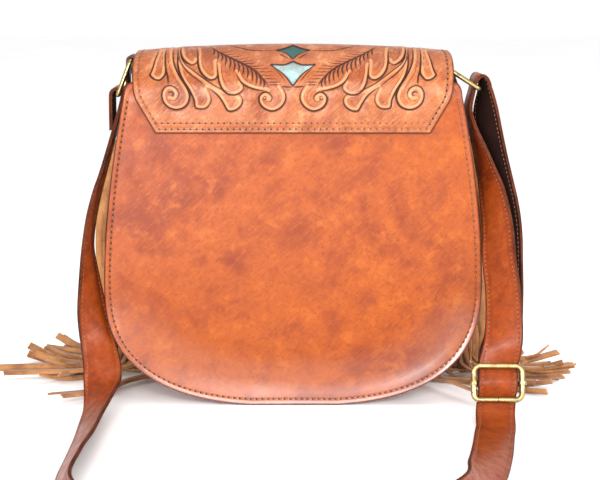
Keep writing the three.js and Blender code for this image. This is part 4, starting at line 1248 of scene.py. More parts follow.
@dataclass
class Flap:
    """The tooled flap: a tab on the back, an arch over the top, and the broad front."""

    look: Look
    seam: Seam
    tooling: Tooling = field(default_factory=Tooling)
    thickness: float = 3.0
    spring_z: float = 245.0
    tab_z: float = 218.5
    tab_half: float = 107.5
    half: float = 124.0
    bulge: float = 2.0
    camber: float = 5.3
    margin: float = 3.0
    foot_z: float = 6.0
    fringe_top_z: float = 207.0
    band_width: float = 12.0
    band_thickness: float = 1.8
    stitch_inset: float = 4.6

    inlays: tuple[Inlay, ...] = (
        Inlay("inlay_diamond", ((1, 0), (0, 1), (-1, 0), (0, -1)), 13.3, 11.0, 72.6),
        Inlay("inlay_kite", ((1, 0.7), (0, 1), (-1, 0.7), (0, -1)), 17.0, 10.5, 48.1),
    )

    @property
    def radius(self) -> float:
        """Radius of the arch's outer face."""
        return BODY.depth / 2 + CLEAR + self.thickness

    @property
    def tab_length(self) -> float:
        """Length of the flat tab."""
        return self.spring_z - self.tab_z

    @property
    def arch_length(self) -> float:
        """Length of the outer face over the arch."""
        return math.pi * self.radius

    @property
    def length(self) -> float:
        """Length of the outer face from the tab's edge to the foot."""
        return self.tab_length + self.arch_length + self.spring_z - self.foot_z

    def half_at(self, s: Array) -> Array:
        """Half-width at a way s up from the tab's edge."""
        turn = np.clip((s - self.tab_length) / self.radius, 0, math.pi)
        tab = self.tab_half + (self.half - 1 - self.tab_half) * np.clip(s / self.tab_length, 0, 1)
        arch = self.half + self.bulge * np.abs(np.sin(2 * turn)) - np.exp(-((turn / 0.12) ** 2))
        z = self.front_z(s)
        wide = BODY.half(z - self.margin) - self.margin
        share = smoothstep((self.spring_z - z) / (self.spring_z - self.fringe_top_z))
        front = self.half + (wide - self.half) * share
        return np.where(
            s < self.tab_length, tab, np.where(s < self.tab_length + self.arch_length, arch, front)
        )

    def front_z(self, s: Array) -> Array:
        """Height on the front at a way s, held to the front."""
        return np.clip(self.spring_z - (s - self.tab_length - self.arch_length), self.foot_z, self.spring_z)

    def front_bulge(self, z: Array) -> Array:
        """How far the front stands off the panel for the fringe's band and the flare."""
        low = smoothstep((self.spring_z - z) / (self.spring_z - self.fringe_top_z - self.band_width))
        return (BODY.rim_flare + self.band_thickness + CLEAR) * low

    def surface(self, x: Array, s: Array, lift: Array | float = 0.0) -> Array:
        """Points of the outer face.

        Args:
            x: Place across.
            s: Way up from the tab's edge.
            lift: How far the points stand off the face.

        Returns:
            Points, one a row.
        """
        out = self.radius + lift
        turn = np.clip((s - self.tab_length) / self.radius, 0, math.pi)
        rise = out - self.camber * (x / self.half) ** 2
        z = self.front_z(s)
        tab = s < self.tab_length
        front = s > self.tab_length + self.arch_length
        y = np.where(tab, -out, np.where(front, out + self.front_bulge(z), -out * np.cos(turn)))
        height = np.where(tab, self.tab_z + s, np.where(front, z, self.spring_z + rise * np.sin(turn)))
        return np.stack([x, y, height], axis=1)

    def outward(self, x: Array, s: Array) -> Array:
        """Directions out of the outer face."""
        return unit(self.surface(x, s, 1.0) - self.surface(x, s, 0.0))

    def relief(self, x: Array, s: Array) -> tuple[Array, Array, Array]:
        """Height, cut and lift of the carving, which the front repeats from the foot up in two sizes."""
        top = self.tab_length + self.arch_length / 2
        back = np.where(s < top, s, 2 * top - s)
        fields = self.tooling.fields(x, np.where(back > 0, back, FAR_OFF))
        foot = (self.length - s - 8) / 1.25
        low = self.tooling.fields(
            x / 1.1, np.where((foot > 12) & (foot < 88) & (s > 2 * top - 4), foot, FAR_OFF)
        )
        return fields[0] + low[0], np.maximum(fields[1], low[1]), np.maximum(fields[2], low[2])

    def part(self, name: str, start: float, end: float, step: float) -> bpy.types.Object:
        """One stretch of the flap as a closed mesh with a fine outer face and a coarse inner one.

        Args:
            name: Name of the piece.
            start: Way s at which the stretch starts.
            end: Way s at which it ends.
            step: Spacing of the outer face's points.

        Returns:
            The piece, with the attributes that its leather reads.
        """
        rows = 3 * round((end - start) / step / 3) + 1
        columns = 3 * round(2 * self.half / step / 3) + 1
        u, s = np.meshgrid(np.linspace(-1, 1, columns), np.linspace(start, end, rows))
        u, s = u.ravel(), s.ravel()
        wide = self.half_at(s)
        x = u * wide
        slope = np.abs(np.gradient(self.half_at(np.linspace(start, end, rows)), (end - start) / (rows - 1)))
        side = (wide - np.abs(x)) / np.hypot(1, np.repeat(slope, columns))
        rim = np.minimum(np.minimum(side, s), self.length - s)
        height, cut, lift = self.relief(x, s)
        keep = smoothstep((rim - 6) / 3)
        height, cut, lift = height * keep, cut * keep, lift * keep
        height -= 0.35 * np.exp(-(((rim - self.stitch_inset) / 0.8) ** 2))
        height -= 0.8 * (1 - np.clip(rim / 1.0, 0, 1)) ** 2
        for inlay in self.inlays:
            within, far = inside_of(inlay.figure(), x, s)
            height = np.where(
                within, -1.5 * smoothstep(far / 0.7), height * smoothstep(far / 1.5)
            )
            # The cut edge round each inlay is darkened too: dye, partly painted shade in the gap.
            cut = np.maximum(cut, np.exp(-((far / 0.8) ** 2)))
            cut = np.where(within, np.maximum(cut, 0.9), cut)
        outer = self.surface(x, s, height)
        inner_grid = np.arange(rows * columns).reshape(rows, columns)[::3, ::3]
        pick = inner_grid.ravel()
        inner = self.surface(x[pick], s[pick], -self.thickness)
        faces = grid_faces(rows, columns, 0, False)
        slots = [0] * len(faces)
        small_rows, small_columns = inner_grid.shape
        inner_faces = grid_faces(small_rows, small_columns, rows * columns, True)
        faces += inner_faces
        slots += [2] * len(inner_faces)
        ring = self.loop_of(rows, columns)
        small = [rows * columns + i for i in self.loop_of(small_rows, small_columns)]
        for k in range(len(small)):
            a, b, c, d = (ring[(3 * k + i) % len(ring)] for i in range(4))
            p, q = small[k], small[(k + 1) % len(small)]
            faces += [(b, a, p), (c, b, p), (c, p, q), (d, c, q)]
            slots += [1] * 4
        piece = build_mesh(
            name, np.vstack([outer, inner]), faces, [self.look.tooled, self.look.rim, self.look.lining], slots
        )
        zero = np.zeros(len(pick))
        paint(piece, "rim", np.concatenate([rim, zero + 9]))
        paint(piece, "cut", np.concatenate([cut, zero]))
        paint(piece, "lift", np.concatenate([lift, zero]))
        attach(piece, "root")
        return piece

    @staticmethod
    def loop_of(rows: int, columns: int) -> list[int]:
        """Numbers of a grid's border points, once round."""
        low = list(range(columns))
        right = [r * columns + columns - 1 for r in range(1, rows)]
        high = [(rows - 1) * columns + c for c in range(columns - 2, -1, -1)]
        left = [r * columns for r in range(rows - 2, 0, -1)]
        return low + right + high + left

    def inlay_piece(self, inlay: Inlay, material: bpy.types.Material) -> bpy.types.Object:
        """The coloured leather under one cut-out, a thin closed sheet along the arch."""
        figure = inlay.figure()
        middle = figure.mean(axis=0)
        rings = [figure, middle + (figure - middle) * 0.66, middle + (figure - middle) * 0.33]
        flat = np.vstack([*rings, middle[None]])
        n = len(figure)
        top = self.surface(flat[:, 0], flat[:, 1], -0.55)
        low = self.surface(flat[:, 0], flat[:, 1], -1.1)
        count = len(flat)
        faces = []
        for base, turned in ((0, False), (count, True)):
            for r in range(2):
                for i in range(n):
                    j = (i + 1) % n
                    quad = (
                        base + r * n + i, base + r * n + j, base + (r + 1) * n + j, base + (r + 1) * n + i
                    )
                    faces.append(quad[::-1] if turned else quad)
            for i in range(n):
                tri = (base + 2 * n + i, base + 2 * n + (i + 1) % n, base + count - 1)
                faces.append(tri[::-1] if turned else tri)
        faces += [((i + 1) % n, i, count + i, count + (i + 1) % n) for i in range(n)]
        piece = build_mesh(inlay.name + "_skin", np.vstack([top, low]), faces, [material])
        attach(piece, "root")
        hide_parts(inlay.name)
        return piece

    def seam_rows(self) -> tuple[list[Array], list[Array]]:
        """Stitch rows round the flap, and the second row on the tab."""
        inset = self.stitch_inset
        s = np.linspace(3.4, self.length - inset, 700)
        x = self.half_at(s) - inset * 1.1
        rows = [np.stack([-x, s], axis=1)[::-1], np.stack([x, s], axis=1)]
        for level in (3.4, 8.2):
            reach = self.half_at(np.array([level]))[0] - inset * 1.1
            rows.append(np.stack([np.linspace(-reach, reach, 200), np.full(200, level)], axis=1))
        reach = self.half_at(np.array([self.length - inset]))[0] - inset
        rows.append(np.stack([np.linspace(reach, -reach, 120), np.full(120, self.length - inset)], axis=1))
        paths = [self.surface(r[:, 0], r[:, 1], -0.1) for r in rows]
        return paths, [self.outward(r[:, 0], r[:, 1]) for r in rows]

    def build(self) -> list[bpy.types.Object]:
        """Builds the flap, its inlays and its seams."""
        split = self.tab_length + self.arch_length + 6
        top = self.part("flap_top", 0.0, split, 0.72)
        front = self.part("flap_front", split, self.length, 1.05)
        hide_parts("flap")
        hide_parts("flap")
        pieces = [top, front]
        for inlay, material, slot in zip(
            self.inlays, (self.look.teal, self.look.turquoise), ("teal_inlay", "turquoise_inlay")
        ):
            pieces.append(self.inlay_piece(inlay, material))
        return [*pieces, *self.seam.sew("flap", *self.seam_rows(), "tooled_leather")]


@dataclass(frozen=True)
class RingPlace:
    """Where a ring's two bars lie."""

    tab_x: float
    tab_z: float
    strap_x: float
    length: float = 29.0

    @property
    def strap_z(self) -> float:
        """Height of the strap's bar."""
        return self.tab_z - math.sqrt(self.length**2 - (self.strap_x - self.tab_x) ** 2)


LEFT_RING = RingPlace(-128.5, 273.5, -139.1)
RIGHT_RING = RingPlace(123.0, 267.0, 147.5)


def wire_loop(width: float, height: float, corner: float) -> Array:
    """Points of a closed rounded rectangle round the origin, rows of two."""
    points = []
    for cx, cy, start in ((1, 1, 0), (-1, 1, 90), (-1, -1, 180), (1, -1, 270)):
        centre = np.array([cx * (width / 2 - corner), cy * (height / 2 - corner)])
        for angle in np.radians(np.linspace(start, start + 90, 9)):
            points.append(centre + corner * np.array([math.cos(angle), math.sin(angle)]))
    return np.array(points)


def round_section(radius: float, sides: int = 14) -> Array:
    """A round section for a sweep."""
    turn = np.linspace(0, 2 * math.pi, sides, endpoint=False)
    return radius * np.stack([np.cos(turn), np.sin(turn)], axis=1)


@dataclass
class RingSet:
    """Both rings with the leather tabs that hold them to the gusset."""

    look: Look
    seam: Seam
    wire: float = 3.6
    inside: float = 32.0
    corner: float = 3.0
    tab_width: float = 24.0
    tab_thickness: float = 2.0
    tab_low_z: float = 205.0
    tab_bend_z: float = 225.0

    def ring(self, name: str, place: RingPlace) -> bpy.types.Object:
        """One ring of brass wire."""
        flat = wire_loop(place.length, self.inside + self.wire, self.corner)
        along = np.array([place.strap_x - place.tab_x, 0, place.strap_z - place.tab_z]) / place.length
        middle = np.array([(place.tab_x + place.strap_x) / 2, 0, (place.tab_z + place.strap_z) / 2])
        places = middle + flat[:, :1] * along + flat[:, 1:] * np.array([0.0, 1.0, 0.0])
        side = np.tile(np.cross(along, [0, 1, 0]), (len(places), 1))
        verts, faces, _ = sweep(places, side, round_section(self.wire / 2), True)
        piece = build_mesh(name + "_wire", verts, faces, [self.look.brass])
        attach(piece, "root")
        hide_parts(name)
        return piece

    def tab(self, name: str, place: RingPlace) -> list[bpy.types.Object]:
        """One tab: up the gusset, over the ring's bar and down inside."""
        side = math.copysign(1.0, place.tab_x)
        gap = self.tab_thickness / 2 + CLEAR
        turn = self.wire / 2 + gap
        route = [(side * (float(BODY.half(z)) - 1 + gap), z) for z in (self.tab_low_z, self.tab_bend_z, BODY.top_z)]
        for angle in np.linspace(0, math.pi, 11):
            route.append((place.tab_x + side * turn * math.cos(angle), place.tab_z + turn * math.sin(angle)))
        route += [(side * (float(BODY.half(z)) - 3 - gap), z) for z in (BODY.top_z, self.tab_bend_z)]
        path = spline(np.array([(x, 0.0, z) for x, z in route]), 2.5)
        half, thin = self.tab_width / 2, self.tab_thickness / 2
        section = np.array(
            [
                (-half, -0.6 * thin), (-half + 0.5, -thin), (half - 0.5, -thin), (half, -0.6 * thin),
                (half, 0.6 * thin), (half - 0.5, thin), (-half + 0.5, thin), (-half, 0.6 * thin)
            ]
        )
        verts, faces, _ = sweep(path, np.tile([0.0, 1.0, 0.0], (len(path), 1)), section)
        piece = build_mesh(name + "_skin", verts, faces, [self.look.tab])
        paint(piece, "rim", np.tile([0.0, 0.8, 0.8, 0.0, 0.0, 0.8, 0.8, 0.0], len(path)))
        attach(piece, "root")
        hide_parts(name)
        rows, faces_out = [], []
        for y in (-half + 3, half - 3):
            z = np.linspace(self.tab_low_z + 3, BODY.top_z - 3, 20)
            x = side * (BODY.half(z) - 1 + gap + thin)
            rows.append(np.stack([x, np.full_like(z, y), z], axis=1))
            faces_out.append(np.tile([side, 0.0, 0.0], (20, 1)))
        return [piece, *self.seam.sew(name, rows, faces_out, "dark_leather")]

    def build(self) -> list[bpy.types.Object]:
        """Builds rings and tabs on both sides."""
        pieces = [self.ring("ring_left", LEFT_RING), self.ring("ring_right", RIGHT_RING)]
        return pieces + self.tab("tab_left", LEFT_RING) + self.tab("tab_right", RIGHT_RING)


# Places of the strap, listed as shares of the body's half-width, of the
# strap's reach in front of the bag and of the body's top, with the direction of the strap's width.
BACK_LAYER = (
    (1.083, -0.185, 0.24, 0.94, -0.34, 0),
    (1.108, -0.149, 0.374, 0.81, -0.59, 0),
    (1.118, -0.113, 0.48, 0.74, -0.67, 0),
    (1.128, -0.085, 0.565, 0.64, -0.77, 0),
    (1.122, -0.059, 0.65, 0.56, -0.83, 0),
    (1.097, -0.038, 0.732, 0.56, -0.83, 0),
    (1.064, -0.023, 0.821, 0.58, -0.81, 0),
    (1.028, -0.008, 0.939, 0.55, -0.84, 0),
)
FRONT_LAYER = (
    (0.934, -0.006, 0.955, 0.05, -1, 0),
    (0.951, -0.015, 0.902, 0.08, -1, 0),
    (0.992, -0.031, 0.821, 0.25, -0.97, 0),
    (1.031, -0.053, 0.736, 0.42, -0.91, 0),
    (1.053, -0.072, 0.679, 0.54, -0.84, 0),
    (1.073, -0.102, 0.585, 0.66, -0.76, 0),
    (1.075, -0.136, 0.488, 0.74, -0.67, 0),
    (1.088, -0.161, 0.407, 0.79, -0.61, 0),
    (1.09, -0.182, 0.337, 0.85, -0.53, 0),
    (1.082, -0.208, 0.247, 0.95, -0.31, 0),
)
FLOOR_LOOP = (
    (1.037, -0.244, 0.036, 1, 0, -0.03),
    (1.025, -0.295, 0.0125, 1, 0, -0.05),
    (1.003, -0.346, 0.0135, 0.99, 0, -0.1),
    (0.95, -0.482, 0.0264, 0.95, 0, -0.3),
    (0.877, -0.631, 0.0435, 0.8, 0, -0.6),
    (0.765, -0.79, 0.0605, 0.35, 0.1, -0.93),
    (0.498, -0.91, 0.0632, 0, 0, -1),
    (0.066, -0.99, 0.0632, 0, 0, -1),
    (-0.399, -0.982, 0.0632, 0, 0, -1),
    (-0.784, -0.903, 0.0632, 0, 0, -1),
    (-0.975, -0.79, 0.0596, -0.4, 0, -0.92),
    (-1.013, -0.615, 0.054, -0.59, 0, -0.81),
    (-1.007, -0.487, 0.0502, -0.68, 0, -0.74),
    (-1.006, -0.359, 0.048, -0.71, 0, -0.7),
    (-1.009, -0.269, 0.0455, -0.77, 0, -0.64),
)
LEFT_LEG = (
    (-1.0, -0.21, 0.063, -0.8, -0.1, -0.58),
    (-0.998, -0.174, 0.09, -0.87, -0.15, -0.42),
    (-1.002, -0.146, 0.13, -0.93, -0.31, -0.15),
    (-1.024, -0.115, 0.183, -0.88, -0.47, 0),
    (-1.047, -0.102, 0.244, -0.8, -0.6, 0),
    (-1.066, -0.1, 0.313, -0.65, -0.76, 0),
    (-1.077, -0.097, 0.411, -0.39, -0.92, 0),
    (-1.083, -0.088, 0.516, -0.14, -0.99, 0),
    (-1.068, -0.067, 0.61, -0.1, -0.99, 0),
    (-1.044, -0.051, 0.679, -0.09, -1, 0),
    (-1.01, -0.036, 0.752, -0.04, -1, 0),
    (-0.967, -0.018, 0.85, 0, -1, 0),
)
WEAVE = ((0.5, -1), (0.385, -0.79), (0.277, -0.24), (0.138, 0.31), (0, 0.62))


@dataclass
class Slider:
    """The slider buckle: a wire frame with a butt joint, and a centre bar hooked behind it."""

    look: Look
    place: Point = (158.2, -90.0, 30.7)
    lean: float = 15.0
    wire: float = 4.4
    inside: float = 33.0
    bars: float = 26.0
    corner: float = 5.0
    play: float = 0.8
    bar_wire: float = 3.0
    bar_in: float = -4.2
    eye: float = 1.0

    def at(self, t: float, n: float, x: float = 0.0) -> Array:
        """A place in the slider's own frame: t up along the strap, n out towards the viewer."""
        lean = math.radians(self.lean)
        px, py, pz = self.place
        return np.array(
            [
                px + x, py + t * math.sin(lean) - n * math.cos(lean),
                pz + t * math.cos(lean) + n * math.sin(lean)
            ]
        )

    def build(self) -> list[bpy.types.Object]:
        """Builds the frame and the bar."""
        flat = wire_loop(self.inside + self.wire, self.bars, self.corner)
        places = np.array([self.at(t, 0.0, x) for x, t in flat])
        out = self.at(0, 1) - self.at(0, 0)
        verts, faces, _ = sweep(places, np.tile(out, (len(places), 1)), round_section(self.wire / 2), True)
        body = build_mesh("slider_frame_wire", verts, faces, [self.look.brass])
        seam_verts, seam_faces, _ = sweep(
            np.array([self.at(-self.bars / 2, 0, x) for x in (-0.25, 0.25)]), np.tile(out, (2, 1)),
            round_section(self.wire / 2 + 0.12)
        )
        mark = build_mesh("slider_joint", seam_verts, seam_faces, [self.look.hole])
        half = (self.inside + self.wire) / 2
        bar_path = np.array([self.at(0, self.bar_in, x) for x in np.linspace(-half, half, 12)])
        bar_verts, bar_faces, _ = sweep(bar_path, np.tile(out, (12, 1)), round_section(self.bar_wire / 2))
        parts = [(bar_verts, bar_faces)]
        for x in (-half, half):
            turn = np.linspace(0, 2 * math.pi, 20, endpoint=False)
            reach = self.wire / 2 + CLEAR + self.eye / 2
            circle = np.array([self.at(0, reach * math.cos(a), x + reach * math.sin(a)) for a in turn])
            up = self.at(1, 0) - self.at(0, 0)
            section = np.array(
                [
                    (-1.5, -0.4), (-1.2, -0.5), (1.2, -0.5), (1.5, -0.4), (1.5, 0.4), (1.2, 0.5), (-1.2, 0.5),
                    (-1.5, 0.4)
                ]
            )
            eye_verts, eye_faces, _ = sweep(circle, np.tile(up, (20, 1)), section, True)
            parts.append((eye_verts, eye_faces))
        offsets = np.cumsum([0] + [len(v) for v, _ in parts])
        all_faces = [tuple(i + o for i in f) for o, (_, fs) in zip(offsets, parts) for f in fs]
        bar = build_mesh("slider_bar_wire", np.vstack([v for v, _ in parts]), all_faces, [self.look.brass])
        for piece, node in ((body, "slider_frame"), (bar, "slider_bar")):
            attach(piece, "root")
            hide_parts(node)
        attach(mark, "root")
        return [body, bar, mark]


@dataclass
class Strap:
    """The whole strap: two stitched layers of leather from the slider over both rings and along the table."""

    look: Look
    seam: Seam
    slider: Slider
    width: float = 30.0
    thickness: float = 2.8
    reach: float = 390.0
    tail_z: float = 218.5
    left_fold: float = 4.7
    right_fold: float = 5.0
    right_rise: float = 10.0
    right_twist: float = 0.2
    slant: float = 0.06
    ring_wire: float = 3.6
    stitch_inset: float = 3.1

    def fold(self, from_x: float, to_x: float, foot_z: float, rise: float, twist: float = 0.0) -> list[tuple]:
        """Stations over a ring's bar, the first leg turned by twist."""
        stations = []
        for turn in np.linspace(0, math.pi, 9):
            x = from_x + (to_x - from_x) * (1 - math.cos(turn)) / 2
            stations.append((x, 0.0, foot_z + rise * math.sin(turn), twist * (1 - turn / math.pi), -1, 0))
        return stations

    def stations(self) -> Array:
        """The strap's whole route: place and width direction."""
        half = self.thickness / 2
        hug = self.ring_wire / 2 + CLEAR + half
        turn = self.slider.bar_wire / 2 + CLEAR + half
        layer = self.thickness + CLEAR
        room = self.slider.wire / 2 + self.slider.play + half
        behind = -room - layer - CLEAR
        sewn = behind - layer
        bar = self.slider.bar_in
        bars = self.slider.bars
        loop = [(-turn * math.sin(a), bar - turn * math.cos(a)) for a in np.radians(np.arange(0, 181, 30))]
        around = [(bars, sewn), (0.54 * bars, sewn), (0.23 * bars, sewn + turn / 3), *loop]
        around += [
            (0.19 * bars, bar + turn / 4), (0.385 * bars, behind + half), (0.54 * bars, behind),
            (0.85 * bars, behind)
        ]
        weave = [(t * bars, n * room) for t, n in WEAVE]
        weave += [(-t, n) for t, n in weave[-2::-1]]

        def framed(rows: list[tuple[float, float]]) -> list[tuple]:
            """Stations in the slider's frame."""
            return [(*self.slider.at(t, n, self.slant * t), 1, 0, 0) for t, n in rows]

        def chosen(rows: tuple) -> list[tuple]:
            """Stations from a table of shares."""
            return [
                (a * BODY.half_width, o * self.reach, u * BODY.top_z, wx, wy, wz) for a, o, u, wx, wy,
                wz in rows
            ]

        right = RIGHT_RING.strap_x - hug
        left = LEFT_RING.strap_x + hug
        outer = left - 2 * self.left_fold
        route = framed(around) + chosen(BACK_LAYER)
        route += self.fold(
            right + 2 * self.right_fold, right, RIGHT_RING.strap_z, self.right_rise, self.right_twist
        )
        route += chosen(FRONT_LAYER) + framed(weave) + chosen(FLOOR_LOOP) + chosen(LEFT_LEG)
        route += self.fold(left, outer, LEFT_RING.strap_z, self.left_fold)
        route.append((outer - CLEAR, 0.0, self.tail_z, 0, -1, 0))
        return np.array(route, float)

    def section(self) -> tuple[Array, Array, Array, Array]:
        """The strap's section: its points, each point's rim distance and layer distance, and each face's slot."""
        w, t = self.width / 2, self.thickness / 2
        face = [
            (-w + 0.35, t), (-w + 2.2, t), (-w + 3.1, t - 0.3), (-w + 4.0, t), (0.0, t + 0.05), (w - 4.0, t),
            (w - 3.1, t - 0.3), (w - 2.2, t), (w - 0.35, t)
        ]
        right = [(w, t - 0.3), (w + 0.02, 0.25), (w - 0.15, 0.0), (w + 0.02, -0.25), (w, -t + 0.3)]
        under = [(x, -z) for x, z in face[::-1]]
        left = [(-x, -z) for x, z in right]
        points = np.array(face + right + under + left)
        edge = np.array([min(9.0, w - abs(x)) for x, _ in points])
        apart = np.abs(points[:, 1])
        slots = [0] * 8 + [1] * 6 + [2] * 8 + [1] * 6
        return points, edge, apart, np.array(slots)

    def build(self) -> list[bpy.types.Object]:
        """Builds the strap with its seams."""
        path = spline(self.stations(), 4.0)
        keep = np.concatenate([[True], np.linalg.norm(np.diff(path[:, :3], axis=0), axis=1) > 0.2])
        path = path[keep]
        places, wide = path[:, :3], unit(path[:, 3:])
        points, edge, apart, slots = self.section()
        verts, faces, which = sweep(places, wide, points)
        face_slots = np.where(which < 0, 1, slots[which])
        piece = build_mesh(
            "strap_skin", verts, faces, [self.look.strap, self.look.cut, self.look.flesh], face_slots
        )
        paint(piece, "rim", np.tile(edge, len(places)))
        paint(piece, "layer", np.tile(apart, len(places)))
        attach(piece, "root")
        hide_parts("strap")
        run = unit(np.gradient(places, axis=0))
        w = unit(wide - (wide * run).sum(axis=1, keepdims=True) * run)
        out = np.cross(run, w)
        rows, facings = [], []
        for sign in (-1, 1):
            for face in (1, -1):
                rows.append(
                    places + w * sign * (
                        self.width / 2 - self.stitch_inset
                    ) + out * face * (self.thickness / 2 - 0.2)
                )
                facings.append(out * face)
        return [piece, *self.seam.sew("strap", rows, facings, "strap_leather")]


@dataclass
class Fringe:
    """Suede strips sewn in round the front flap's edge, hanging at the sides and splayed on the table."""

    look: Look
    strips: StripTree
    flap: Flap
    count: int = 116
    width: float = 6.2
    thickness: float = 1.7
    length: float = 147.0
    leave: float = 7.0
    seed: int = 7

    def edge(self) -> tuple[Array, Array]:
        """The sewn edge under the flap and its outward directions, from the left end to the right one."""
        rim = BODY.outline(2.0)
        out = side_normals(rim)
        keep = rim[:, 1] < self.flap.fringe_top_z
        rim, out = rim[keep], out[keep]
        place = rim - self.flap.margin * out
        place[:, 1] = np.maximum(place[:, 1], self.flap.foot_z)
        return place, out

    def band_y(self, z: float) -> float:
        """Depth of the backing band at a height."""
        return BODY.depth / 2 + float(self.flap.front_bulge(np.array([z]))[0]) - self.flap.band_thickness / 2

    def strip(self, start: Array, out: Array, side: float, rng: np.random.Generator) -> tuple[Array, Array]:
        """One strip's middle line and the way that its face looks.

        Args:
            start: Where it leaves the edge, x and z.
            out: Direction out of the edge, x and z.
            side: Place along the edge, -1 at the left end and 1 at the right one.
            rng: Source of its own small differences.

        Returns:
            Path points and facing directions.
        """
        y = self.band_y(start[1])
        opened = 118 * min(1.0, abs(side) / 0.72) ** 1.5
        if 0.22 < abs(side) < 0.7 and rng.random() < 0.35:
            opened = rng.uniform(100, 135)
        fan = math.radians(90 - opened + rng.normal(0, 15))
        way = np.array([math.copysign(1, side) * math.cos(fan), math.sin(fan), 0.0])
        across = np.array([-way[1], way[0], 0.0])
        length = self.length * (1 + rng.uniform(-0.1, 0.02))
        drift = rng.uniform(0.0, 1.0)
        layer = (1.5 + 13 * drift * (abs(side) < 0.93)) * abs(out[0])
        o = np.array([out[0], 0.0, out[1]])
        root = np.array([start[0], y, start[1]])
        low_z = 1.2 + 9 * rng.random() ** 1.5
        lip = root + o * self.leave + np.array([0.0, 1 + layer, 0.0])
        lip[2] = max(lip[2], low_z + 1)
        fall = min(length - self.leave - 4, lip[2] - low_z)
        lean = rng.uniform(0.06, 0.16) * fall
        foot = lip + np.array(
            [lean * math.copysign(1, out[0]) if abs(out[0]) > 0.3 else 0.0, 0.04 * fall, -fall]
        )
        rest = length - self.leave - fall
        knots = [root - o * 9, root + o * 2]
        ahead = np.array([0.0, 1.0, 0.0])
        looks = [ahead, ahead]
        knots.append(lip)
        looks.append(unit(ahead + 0.25 * o))
        if fall > 14:
            sway = rng.uniform(9.0, 12.5) if abs(side) > 0.93 else rng.uniform(-1.5, 3.0)
            knots.append(lip + (foot - lip) * 0.5 + np.array([sway * math.copysign(1, out[0]), 0, 0]))
            looks.append(unit(ahead + 0.3 * way * (rest > 20)))
        if rest > 16:
            bend = min(9.0, rest / 3)
            if fall > 14:
                knots.append(foot + [0, 0, bend * 0.7])
                looks.append(unit(way * 0.9 + ahead * 0.3 + [0, 0, 0.5]))
            turned = rng.uniform(0.3, 1.6) * rng.choice((-1, 1))
            snake = rng.uniform(-9, 9, 3)
            lift = rng.uniform(0.0, 9.0)
            for share, side_way, z in (
                (bend / rest, 0.0, 0.6), (0.4, snake[0] * 0.5, 0.0), (0.7, snake[1], lift * 0.2),
                (1.0, snake[1] + snake[2], lift)
            ):
                here = foot + way * rest * share + across * side_way
                here[2] = low_z + z
                knots.append(here)
                looks.append(unit(np.array([0.0, 0.0, 1.0]) + across * turned * (0.3 + 0.7 * share)))
        else:
            knots.append(foot)
            looks.append(unit(ahead + across * rng.uniform(-0.3, 0.3)))
        path = spline(np.hstack([np.array(knots), np.array(looks)]), 5.0)
        path[:, 2] = np.maximum(path[:, 2], self.thickness / 2 + 0.1)
        return path[:, :3], unit(path[:, 3:])

    def build(self) -> list[bpy.types.Object]:
        """Builds the fringe and its backing band."""
        rng = np.random.default_rng(self.seed)
        edge, out = self.edge()
        along = along_path(np.hstack([edge, out]), 1.0)
        paths, facings = [], []
        for i in range(self.count):
            share = (i + 0.5 + rng.uniform(-0.3, 0.3)) / self.count
            k = min(len(along) - 1, int(share * len(along)))
            path, facing = self.strip(along[k, :2], unit(along[k, 2:]), 2 * share - 1, rng)
            paths.append(path)
            facings.append(facing)
        values = {"Width": self.width * MM, "Thickness": self.thickness * MM, "Material": self.look.suede}
        strips = self.strips.run("fringe_strips", paths, facings, values)
        half = self.flap.band_width / 2
        band_path = np.array([(x - ox * half, self.band_y(z), z - oz * half) for x, z, ox, oz in along[::4]])
        wide = np.array([(ox, 0.0, oz) for ox, oz in along[::4, 2:]])
        t = self.flap.band_thickness / 2
        section = np.array([(-half, -t), (half, -t), (half, t), (-half, t)])
        verts, faces, _ = sweep(band_path, wide, section)
        band = build_mesh("fringe_band", verts, faces, [self.look.suede])
        for piece in (strips, band):
            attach(piece, "root")
            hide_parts("fringe")
        return [strips, band]


# Studio


# The soft lights: name, place, target and size in metres, power in watts.
LIGHTS = (
    ("front_window", (0.15, -2.0, 1.05), (0, 0, 0.12), (1.1, 0.5), 34),
    ("low_window", (-0.6, -2.0, 0.42), (-0.1, 0, 0.03), (0.7, 0.25), 40),
    ("side_window", (1.5, -1.2, 0.6), (-0.1, 0, 0.1), (0.8, 0.8), 26),
    ("ceiling", (0.1, -0.1, 2.0), (0, 0, 0), (1.2, 0.9), 12),
)


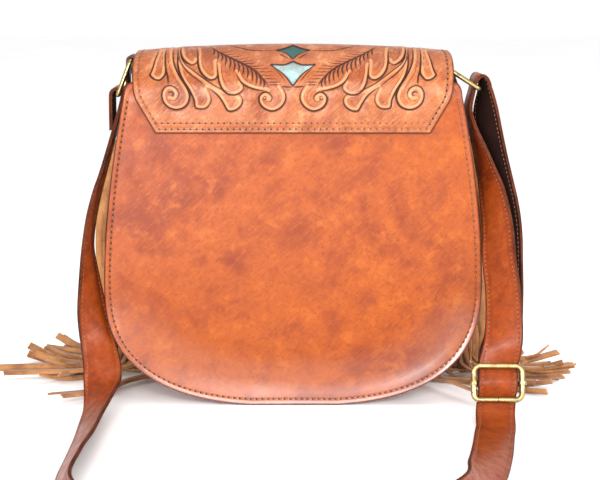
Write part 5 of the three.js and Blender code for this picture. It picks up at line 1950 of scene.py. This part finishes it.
@dataclass
class Studio:
    """The pale table, soft light and the camera."""

    focal: float = 96.1
    sensor: float = 36.0
    camera_place: Point = (0.0055, -1.288, 0.354)
    pitch: float = 10.0
    daylight: float = 1.02
    table_reach: float = 6000.0
    table_drop: float = 0.4
    table_tone: tuple[float, float, float, float] = (0.96, 0.96, 0.96, 1)
    table_cloud: tuple[float, float, float, float] = (0.94, 0.94, 0.94, 1)

    def table(self) -> bpy.types.Object:
        """The white table."""
        reach, corners = self.table_reach, ((-1, -1), (1, -1), (1, 1), (-1, 1))
        verts = np.array([(x * reach, y * reach, -self.table_drop) for x, y in corners])
        n = Nodes("white_table")
        tone = n.stain(self.table_tone, ((n.noise(n.place(), 3, 3, 0.5), 0.3, 0.7, 1, self.table_cloud),))
        material = n.dress(Base_Color=tone, Roughness=0.55)
        table = build_mesh("table", verts, [(0, 1, 2, 3)], [material])
        return table

    def light(self, name: str, place: Point, target: Point, size: tuple[float, float], power: float) -> None:
        """One soft rectangular light that looks at a target."""
        data = bpy.data.lights.new(name, "AREA")
        data.shape = "RECTANGLE"
        data.size, data.size_y = size
        data.energy = power
        lamp = bpy.data.objects.new(name, data)
        lamp.location = place
        lamp.rotation_euler = (Vector(target) - Vector(place)).to_track_quat("-Z", "Y").to_euler()
        bpy.context.scene.collection.objects.link(lamp)

    def build(self) -> None:
        """Sets up world, table, lights and camera."""
        world = bpy.data.worlds.new("white_room")
        bpy.context.scene.world = world
        world.use_nodes = True
        air = world.node_tree.nodes["Background"].inputs
        air["Color"].default_value = (1, 1, 1, 1)
        air["Strength"].default_value = self.daylight
        bpy.context.scene.view_settings.view_transform = "Standard"
        self.table()
        for lamp in LIGHTS:
            self.light(*lamp)
        data = bpy.data.cameras.new("camera")
        data.lens = self.focal
        data.sensor_width = self.sensor
        data.clip_end = 50
        camera = bpy.data.objects.new("camera", data)
        camera.location = self.camera_place
        camera.rotation_euler = (math.radians(90 - self.pitch), 0, 0)
        bpy.context.scene.collection.objects.link(camera)
        bpy.context.scene.camera = camera


def main() -> None:
    """Builds the studio and every piece of the bag, and reports each piece."""
    logging.basicConfig(level=logging.INFO, format="%(name)s: %(message)s")
    Studio().build()
    look = Look()
    grains, strips = GrainTree(), StripTree()
    seam = Seam(look, grains)
    slider = Slider(look)
    flap = Flap(look, Seam(look, grains, pitch=4.8))
    builders = [
        Panel(look, seam, Side.BACK),
        Panel(look, seam, Side.FRONT),
        Gusset(look),
        flap,
        RingSet(look, Seam(look, grains, pitch=3.6)),
        slider,
        Strap(look, Seam(look, grains, pitch=3.6, thread=0.75, hole=1.35), slider),
        Fringe(look, strips, flap),
    ]
    for builder in builders:
        for piece in builder.build():
            LOG.info("%s: %d faces", piece.name, len(piece.data.polygons))
    snap = frame["nodes"]["magnet_snap"]
    snap.data.materials.clear()
    snap.data.materials.append(look.brass)


if __name__ == "__main__":
    main()
